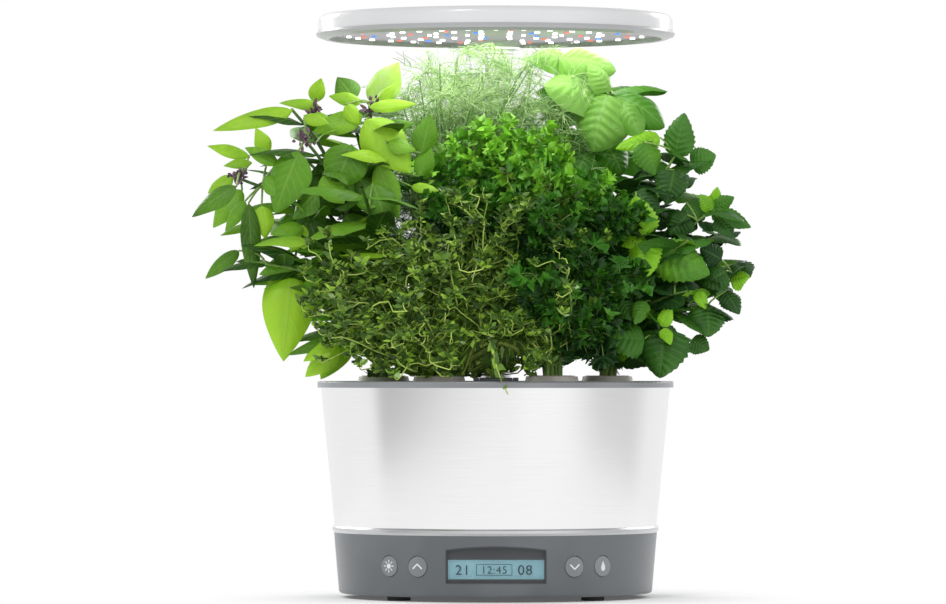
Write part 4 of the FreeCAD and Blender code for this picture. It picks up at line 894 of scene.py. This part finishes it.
# %% Where the mint stands
MINT_TOPS = [(141, -14, 347), (110, -26, 312), (170, -18, 304), (186, -6, 252), (166, -24, 228),
             (117, -34, 281), (129, -30, 208), (84, -28, 200), (150, 26, 330), (176, 30, 285),
             (120, 36, 300), (190, 14, 262), (110, 50, 250), (150, -50, 240), (170, 40, 240),
             (150, -52, 280), (90, 20, 240), (120, 10, 340)]
MINT_LEAVES = [
    (141, 346, 148, 380, -16, 23, 0.42), (153, 341, 173, 347, -10, 20, 0.50),
    (129, 361, 94, 352, -14, 15, 0.92), (116, 357, 125, 331, -24, 22, 0.62),
    (140, 335, 134, 308, -22, 25, 0.22), (114, 283, 109, 314, -44, 27, 1.05),
    (116, 283, 98, 275, -46, 14, 0.95), (115, 279, 118, 251, -48, 24, 0.90),
    (125, 270, 167, 253, -40, 31, 0.66), (170, 303, 200, 290, -18, 15, 0.40),
    (170, 304, 160, 316, -20, 12, 0.80), (171, 306, 187, 314, -16, 12, 0.55),
    (171, 306, 174, 322, -14, 10, 0.95), (174, 298, 186, 282, -22, 15, 0.22),
    (177, 265, 160, 274, -22, 18, 0.10), (180, 256, 162, 244, -26, 22, 0.25),
    (184, 248, 199, 252, -20, 16, 0.85), (180, 240, 191, 222, -16, 16, 0.15),
    (166, 228, 166, 204, -34, 28, 0.32), (153, 202, 167, 194, -28, 16, 0.30),
    (116, 203, 82, 203, -46, 27, 0.45), (131, 210, 128, 172, -44, 40, 0.28),
    (130, 212, 136, 229, -48, 11, 0.95), (131, 211, 136, 198, -52, 10, 0.95),
    (152, 232, 148, 250, -26, 18, 0.12), (140, 246, 142, 228, -30, 18, 0.10),
    (150, 300, 136, 284, -20, 22, 0.22), (150, 310, 164, 296, -10, 20, 0.30),
    (110, 318, 128, 300, -20, 20, 0.18), (98, 232, 112, 216, -40, 18, 0.30),
    (117, 232, 108, 214, -44, 13, 0.60), (158, 240, 164, 226, -36, 10, 0.90),
]
MINT_ROOM = ((62, -72, 176), (200, 66, math.inf))
print("mint:", len(MINT_TOPS), "stems and", len(MINT_LEAVES), "placed leaves")


# %% Grow the mint
def mint():
    rng = np.random.default_rng(37)
    leaves, stems = Bed(), Bed()
    paths = main_stems(rng, stems, pod(0), MINT_TOPS, rise=0.45, spread=5, radii=(2.0, 1.0),
                       tones=(0.3, 0.9), sides=6)
    for base, tip, facing, width, tone in placed_leaves(
            rng, stems, paths, MINT_LEAVES, rise=0.2, radii=(0.9, 0.7), stalk_tone=0.7, deeper=(-8, 4),
            turn=0.3, upturn=(0.1, 0.6)):
        blade(leaves, rng, base, tip, facing, width * 1.12, tone, heart, bend=0.10, cup=0.22,
              pucker=0.05, teeth=9, rows=37, columns=17, wave=0.07)
    for start, tip, length in leaf_pairs(rng, paths, range(3, 12), turn=1.6, sway=0.4, lengths=(24, 38),
                                         droop=(-0.5, 0.3), room=MINT_ROOM):
        tone = rng.uniform(0.02, 0.40) + 0.5 * (rng.random() < 0.12)
        blade(leaves, rng, start, tip, random_facing(rng, 0.6), length * 0.72, tone, heart, bend=0.08,
              cup=0.18, pucker=0.03, teeth=8, rows=25, columns=9, wave=0.05)
    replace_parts(plant("mint", "leaves", leaves, mint_leaf), "herb_mint")
    plant("mint", "stems", stems, green_stem)


mint()

# %% [markdown]
# ## Curly parsley, in the middle and to the right
# Curly parsley is all edge: each leaflet is a small fan whose rim is far longer than its
# reach, so it ruffles. A fan is a grid in angle and radius, lifted by waves that grow
# towards the rim. Leaflets crowd round the upper ends of many thin stalks.

# %% One ruffled leaflet
def ruffle(bed, rng, foot, out, size, tone):
    out = out / np.linalg.norm(out)
    side = np.cross(out, rng.normal(0, 1, 3))
    side /= np.linalg.norm(side)
    up = np.cross(side, out)
    r = np.linspace(0.05, 1, 6)[:, None]
    theta = np.linspace(-2.3, 2.3, 33)[None, :]
    phase = rng.uniform(0, 6.28, 3)
    reach = size * (1 + 0.20 * np.cos(3.1 * theta + phase[0]) + 0.20 * np.cos(13 * theta + phase[1]))
    lift = size * r ** 2 * (0.42 * np.sin(6 * theta + phase[2]) + 0.26 * np.sin(14 * theta + phase[0]))
    forward = r * reach * np.cos(theta * 0.8)
    across = r * reach * np.sin(theta * 0.8)
    cells = foot + out * forward[..., None] + side * across[..., None] + up * lift[..., None]
    bed.grid(cells, r, theta / 2.3, tone)


# %% Parsley
PARSLEY_TOPS = [(-6, 0, 360), (14, -4, 352), (-30, -10, 330), (30, -20, 322), (-52, -4, 322),
                (46, -10, 334), (-18, -34, 306), (12, -44, 300), (64, -30, 326), (84, -36, 318),
                (56, -52, 296), (92, -50, 292), (76, -62, 262), (40, -70, 266), (100, -60, 250),
                (66, -78, 232), (90, -72, 216), (30, -20, 352), (50, -90, 248), (104, -34, 302),
                (-40, -24, 300), (60, -6, 300), (30, -104, 230), (80, -96, 206), (10, -30, 330),
                (70, -70, 300), (30, -128, 250), (58, -130, 220), (20, -84, 300), (44, -110, 290),
                (0, -16, 316), (-16, -12, 344), (36, -2, 342), (72, -14, 300), (96, -84, 240),
                (30, -56, 330), (54, -84, 318), (66, -108, 262), (-60, -14, 306), (-30, 4, 346)]
LEAFLETS_PER_STALK = 28


def parsley():
    rng = np.random.default_rng(53)
    leaves, stems = Bed(), Bed()
    foot = pod(300)
    for top in PARSLEY_TOPS:
        height = top[2]
        path = curve(foot + rng.uniform(-6, 6, 3) * (1, 1, 0), top, 0.6, 14)
        stems.tube(path, 1.7, 0.9, rng.uniform(0.2, 0.7), 5)
        light = 0.85 if height > 335 else (0.60 if height > 310 else 0.24)
        for _ in range(LEAFLETS_PER_STALK):
            start = path[rng.integers(8, 14)]
            way = rng.normal(0, 1, 3) + (0, -0.5, 0.35)
            end = start + way / np.linalg.norm(way) * rng.uniform(8, 24)
            stems.tube(curve(start, end, 0.2, 5), 0.6, 0.4, 0.5, 4)
            tone = light + rng.uniform(-0.25, 0.30) + (end[2] - height) * 0.012
            ruffle(leaves, rng, end, way + rng.normal(0, 0.4, 3), rng.uniform(6.5, 11), tone)
    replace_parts(plant("parsley", "leaves", leaves, parsley_leaf), "herb_parsley")
    plant("parsley", "stems", stems, green_stem)


parsley()

# %% [markdown]
# ## Thyme, at the front left
# Thyme is a tangle of wiry pale stems that arch over and turn up at their ends, with pairs
# of tiny dark leaves all along them. The wires are what the eye follows, so they are many.

# %% How a wiry stem runs
def low_sweep(start, end):
    """A stem that runs out along the deck first, then turns up to its end."""
    start, end = np.asarray(start, dtype=float), np.asarray(end, dtype=float)
    control = np.array([start[0] + (end[0] - start[0]) * 0.85, start[1] + (end[1] - start[1]) * 0.85,
                        start[2] + (end[2] - start[2]) * 0.12 + 14])
    t = np.linspace(0, 1, 18)[:, None]
    return (1 - t) ** 2 * start + 2 * t * (1 - t) * control + t ** 2 * end


def stray(rng, path, amount):
    """Let a stem wander off its line, more and more towards its end."""
    t = np.linspace(0, 1, len(path))
    for axis in range(3):
        swing = np.sin(t * rng.uniform(5, 13) + rng.uniform(0, 6.28)) - math.sin(rng.uniform(0, 6.28)) * t
        path[:, axis] += amount * swing * t ** 1.2
    return path


def hooked(rng, path, size):
    """Add a curled end to a stem."""
    heading = rng.uniform(0, 6.28)
    turns = np.linspace(0, rng.uniform(1.2, 4.0), 8)[1:, None]
    curl = [np.sin(turns) * math.cos(heading), np.sin(turns) * math.sin(heading) * 0.6,
            (1 - np.cos(turns)) * 1.2]
    return np.concatenate([path, path[-1] + size * np.concatenate(curl, axis=1)])


# %% Thyme's tiny leaves, and where its sprigs end
def thyme_sprig(bed, rng, path, low, high, first):
    """Pairs of tiny leaves along a stem."""
    for step in range(first, len(path)):
        for part in (0.0, 0.5):
            spot = path[step - 1] * (1 - part) + path[step] * part
            angle = rng.uniform(0, 6.28)
            for side in (0, math.pi):
                out = np.array([math.cos(angle + side), math.sin(angle + side), rng.uniform(-0.3, 0.9)])
                length = rng.uniform(4.0, 7.8)
                tone = rng.uniform(low, high) + 0.45 * (rng.random() < 0.10)
                blade(bed, rng, spot, spot + out * length, random_facing(rng, 0.9), length * 0.60, tone,
                      oval, bend=0.1, cup=0.2, rows=5, columns=3)


def sprig_end(rng, number):
    """A place under a low dome; every sixth sprig ends close to the deck, every fifth further back."""
    x = rng.uniform(-134, 58)
    dome = 300 - 0.0036 * (x + 12) ** 2
    z = 182 + (dome - 182) * rng.uniform(0.0, 1.0) ** 0.9
    if z < 236:
        x = max(x, -104.0)
    if number % 6 == 1:
        x, z = rng.uniform(-60, 46), rng.uniform(180, 216)
    depth = -56 - 68 * rng.uniform(0.1, 1.0) * (1 - 0.4 * (z - 180) / 160)
    if number % 5 == 0:
        depth += 46
    return x, depth, z


# %% Grow the thyme
THYME_SPRIGS = 118
TWIGS_PER_SPRIG = 5
OVER_THE_RIM = ((-20, -108, 208), (9, -143, 160))


def thyme():
    rng = np.random.default_rng(71)
    leaves, stems = Bed(), Bed()
    foot = pod(240)
    for number in range(THYME_SPRIGS):
        end = sprig_end(rng, number)
        start = foot + rng.uniform(-8, 8, 3) * (1, 1, 0)
        path = low_sweep(start, end) if number % 3 else curve(start, end, 0.6, 18)
        path = hooked(rng, stray(rng, path, 12), rng.uniform(3, 7))
        path[:, 2] = np.maximum(path[:, 2], 173.5)
        stems.tube(path, 1.0, 0.5, rng.uniform(0.1, 1.0), 5)
        thyme_sprig(leaves, rng, path[::2], 0.0, 0.75, 3)
        for _ in range(TWIGS_PER_SPRIG):
            start = path[rng.integers(6, len(path) - 4)]
            way = rng.normal(0, 1, 3) * (1.0, 0.8, 0.7) + ((start[0] + 40) * 0.006, -0.25, 0.25)
            end = start + way / np.linalg.norm(way) * rng.uniform(16, 40)
            end[1] = max(end[1], -138.0)
            end[2] = max(end[2], 178.0)
            twig = hooked(rng, stray(rng, curve(start, end, 0.25, 9), 5), rng.uniform(2, 5))
            stems.tube(twig, 0.65, 0.38, rng.uniform(0.3, 1.2), 4)
            bare = rng.random() < 0.5
            thyme_sprig(leaves, rng, twig, 0.1, 0.9, 12 if bare else 4)
    over_rim = curve(*OVER_THE_RIM, 0.12, 12)
    stems.tube(over_rim, 0.8, 0.5, 0.7, 5)
    thyme_sprig(leaves, rng, over_rim, 0.3, 0.8, 4)
    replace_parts(plant("thyme", "leaves", leaves, thyme_leaf), "herb_thyme")
    plant("thyme", "stems", stems, thyme_stem)


thyme()

# %% [markdown]
# ## Dill, at the rear
# Dill is a cloud of green hair. Each stalk bears thin ribs along its upper half, and each rib
# bears threads about half a millimetre thick, all bending over at their ends.

# %% Dill
DILL_TOPS = [(-60, 22, 408), (-30, 18, 424), (0, 26, 430), (30, 22, 420), (-72, 30, 384), (52, 14, 392),
             (-46, 12, 392), (16, 8, 402), (-10, 14, 410), (40, 6, 368), (60, 2, 346), (-70, 60, 400),
             (-30, 70, 415), (-50, 90, 380), (10, 60, 425), (-80, 46, 360), (64, 10, 366), (-20, 4, 384),
             (24, 0, 376), (-64, 12, 366), (-70, 130, 372), (-40, 152, 386), (-20, 128, 404),
             (-92, 104, 350), (-104, 74, 326), (-60, 150, 330), (-28, 158, 300), (-80, 30, 350),
             (-50, 110, 410), (-90, 60, 300), (-50, 20, 340), (0, 20, 360), (36, 14, 408),
             (56, 0, 404), (66, -4, 384), (72, -6, 356), (46, -8, 362), (24, 10, 418), (-44, 16, 420)]
RIBS_PER_STALK = 19
THREADS_PER_RIB = 17
UNDER_THE_LAMP = 432.0


def dill():
    rng = np.random.default_rng(89)
    threads = Bed()
    foot = pod(120)
    for top in DILL_TOPS:
        path = curve(foot + rng.uniform(-5, 5, 3) * (1, 1, 0), top, 0.5, 16)
        threads.tube(path, 1.5, 0.6, 0.35, 5)
        light = np.clip((top[2] - 330) / 60, 0.25, 1.0)
        for _ in range(RIBS_PER_STALK):
            start = path[rng.integers(8, 16)]
            way = rng.normal(0, 1, 3) * (1, 0.7, 0.7) + (0.15, -0.25, 0.1)
            rib_end = start + way / np.linalg.norm(way) * rng.uniform(16, 40)
            rib_end[2] = min(rib_end[2], UNDER_THE_LAMP)
            rib = curve(start, rib_end, 0.35, 8)
            threads.tube(rib, 0.45, 0.28, rng.uniform(0.3, 1.1) * light, 3)
            for _ in range(THREADS_PER_RIB):
                spot = rib[rng.integers(1, 8)]
                out = (rib_end - start) / 30 + rng.normal(0, 0.7, 3)
                end = spot + out / np.linalg.norm(out) * rng.uniform(8, 22)
                end[2] = min(end[2], UNDER_THE_LAMP + 2)
                threads.tube(curve(spot, end, 0.22, 5), 0.27, 0.17, rng.uniform(0.2, 1.2) * light, 3)
    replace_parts(plant("dill", "threads", threads, dill_leaf), "herb_dill")


dill()

# %% [markdown]
# ## What the pods hold
# Each pod has a plug of dark growing foam and a pale speckled label ring. The plug is a
# rough turned form, and the label a thin ring with a rounded edge.

# %% Foam and card
def foam_finish():
    shader = Shader("grow_foam")
    pores = shader.noise(420.0, 4.0)
    tint = shader.mix(pores.ramp(0.35, 0.65), (0.020, 0.012, 0.007), (0.085, 0.050, 0.026))
    return shader.finish(base_color=tint, roughness=0.9 - pores * 0.05,
                         normal=shader.bump(pores, 0.9, 0.001))


def label_finish():
    shader = Shader("label_card")
    speck = shader.noise(620.0, 3.0)
    tint = shader.mix(speck.ramp(0.42, 0.62), (0.52, 0.38, 0.30), (0.80, 0.72, 0.64))
    return shader.finish(base_color=tint, roughness=0.55 + speck * 0.1,
                         normal=shader.bump(speck, 0.3, 0.0004))


# %% Foam plugs and labels
PLUG_FOOT, PLUG_FLARE, PLUG_CHAMFER = 11.3, 4.5, 0.4
CARD_BORE, CARD_FLAT, CARD_EDGE = 9.2, 16.9, 17.3


def turned_form(bed, middle, outline, tone, rough=0.0, rng=None, sides=36):
    """A turned form round an upright axis, from (radius, height) pairs in millimetres."""
    turns = np.linspace(0, 2 * math.pi, sides, endpoint=False)
    radius = np.array([r for r, _ in outline], dtype=float)[:, None]
    height = np.array([h for _, h in outline], dtype=float)[:, None]
    if rough:
        radius = radius + rng.normal(0, rough, (len(outline), sides)) * (radius > 0.5)
        height = height + rng.normal(0, rough, (len(outline), sides)) * (radius > 0.5)
    cells = np.stack([middle[0] + radius * np.cos(turns), middle[1] + radius * np.sin(turns),
                      height + 0 * turns], axis=-1)
    bed.grid(cells, np.linspace(0, 1, len(outline))[:, None], 0 * turns[None], tone, closed=True)


def pod_fillings():
    rng = np.random.default_rng(5)
    foam, cards = Bed(), Bed()
    plug_low, plug_high = (corner[2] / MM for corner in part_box("grow_sponges"))
    card_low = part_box("pod_labels")[0][2] / MM
    rise = plug_high - plug_low
    base = [(0.4, plug_low + PLUG_CHAMFER), (6, plug_low + PLUG_CHAMFER)]
    wall = [(PLUG_FOOT + PLUG_FLARE * t, plug_low + PLUG_CHAMFER + t * (rise - 1.2))
            for t in np.linspace(0, 1, 9)]
    top = [(r, plug_high - PLUG_CHAMFER) for r in (14, 10, 6, 3, 0.4)]
    ring = [(CARD_BORE, card_low + 0.05), (CARD_FLAT, card_low + 0.05), (CARD_EDGE, card_low + 0.35),
            (CARD_FLAT, card_low + 0.6), (CARD_BORE, card_low + 0.6), (CARD_BORE, card_low + 0.05)]
    for number in range(6):
        turned_form(foam, pod(60 * number), base + wall + top, 0.5, rough=0.25, rng=rng)
        turned_form(cards, pod(60 * number), ring, 0.5, sides=64)
    plugs = in_metres(foam).make("pod_foam", foam_finish(), "bowl", "sponge_brown")
    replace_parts(plugs, "grow_sponges")
    labels = in_metres(cards).make("pod_label_rings", label_finish(), "bowl", "label_card")
    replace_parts(labels, "pod_labels")


pod_fillings()

# %% [markdown]
# ## Light and floor
# The garden stands on a pale floor in a bright white studio. The camera sees its walls as
# plain white, while all other light meets soft grey bands on them, which give the steel band
# its upright shading. Each grey band is placed by its angle round the garden.

# %% Studio walls
def studio_world():
    world = bpy.data.worlds.new("studio")
    bpy.context.scene.world = world
    world.use_nodes = True
    nodes = Nodes(world.node_tree)
    split = nodes.node("ShaderNodeSeparateXYZ", None, {0: nodes.node("ShaderNodeTexCoord")})
    east, north, height = (Wire(nodes, output) for output in split.socket.node.outputs)
    azimuth = east.maths("ARCTAN2", east, 0 - north) * (180 / math.pi)
    left = azimuth.ramp(-92, -80) * (1 - azimuth.ramp(-80, 10)) * 0.42
    right = azimuth.ramp(50, 78) * (1 - azimuth.ramp(100, 128)) * 0.24
    middle = azimuth.ramp(10, 22) * (1 - azimuth.ramp(40, 60)) * 0.10
    upright = 1 - abs(height).ramp(0.45, 0.75)
    level = 0.54 + upright * (0.38 - left - right + middle)
    grey = nodes.node("ShaderNodeCombineColor", None, {0: level, 1: level, 2: level * 1.005})
    seen_by_camera = nodes.node("ShaderNodeLightPath")
    background = world.node_tree.nodes["Background"]
    nodes.feed(background.inputs["Color"], nodes.mix(seen_by_camera, grey, (1.0, 1.0, 1.0)))
    nodes.feed(background.inputs["Strength"], 1.0)
    print("studio walls have", len(world.node_tree.nodes), "nodes")


studio_world()

# %% [markdown]
# A floor that is white all over would blow out the steel band from below. This one is a
# round table that catches the garden's shadow near its feet, and turns into plain white
# light further out, so that it melts into the background.

# %% Floor
FLOOR_RADIUS = 0.75
SHADOW_EDGE = (0.13, 0.26)


def floor():
    shader = Shader("floor_pale")
    cloud = shader.noise(3.0, 2.0)
    distance = shader.node("ShaderNodeVectorMath", {"operation": "LENGTH"}, {0: shader.place()}, output=1)
    far = distance.ramp(*SHADOW_EDGE)
    pale = shader.mix(cloud, (0.93, 0.93, 0.93), (0.95, 0.95, 0.95))
    material = shader.finish(base_color=shader.mix(far, pale, (0, 0, 0)), specular_ior_level=0.0,
                             roughness=0.6 + cloud * 0.05, emission_strength=1.0,
                             emission_color=shader.mix(far, (0.10, 0.10, 0.10), (1, 1, 1)))
    rim = [(*corner, 0.0) for corner in disc(FLOOR_RADIUS, 96)]
    mesh = bpy.data.meshes.new("floor")
    mesh.from_pydata(rim, [], [tuple(range(len(rim)))])
    mesh.materials.append(material)
    made = bpy.data.objects.new("floor", mesh)
    bpy.context.scene.collection.objects.link(made)


floor()

# %% [markdown]
# A round light under the lamp's panel burns out the tops of the herbs, as the diodes do. One
# soft light in front and two behind lift the leaves' edges off the white background.

# %% Lights
def area_light(name, spot, aim, size, power, colour=(1, 1, 1)):
    data = bpy.data.lights.new(name, "AREA")
    data.shape = "DISK"
    data.size = size
    data.energy = power
    data.color = colour
    light = bpy.data.objects.new(name, data)
    bpy.context.scene.collection.objects.link(light)
    light.location = spot
    light.rotation_euler = (Vector(aim) - Vector(spot)).to_track_quat("-Z", "Y").to_euler()
    print("light", name, "at", spot)


bpy.context.scene.view_settings.view_transform = "Standard"
area_light("lamp_glow", (0, 0, 0.4375), (0, 0, 0), size=0.22, power=0.36, colour=(1.0, 0.99, 0.97))
area_light("front_soft", (-0.9, -2.2, 1.9), (0, 0, 0.25), size=0.6, power=15.0)
area_light("back_left", (-1.2, 1.3, 0.9), (0, 0, 0.25), size=0.9, power=11.0)
area_light("back_right", (1.2, 1.4, 0.9), (0, 0, 0.25), size=0.9, power=8.0)
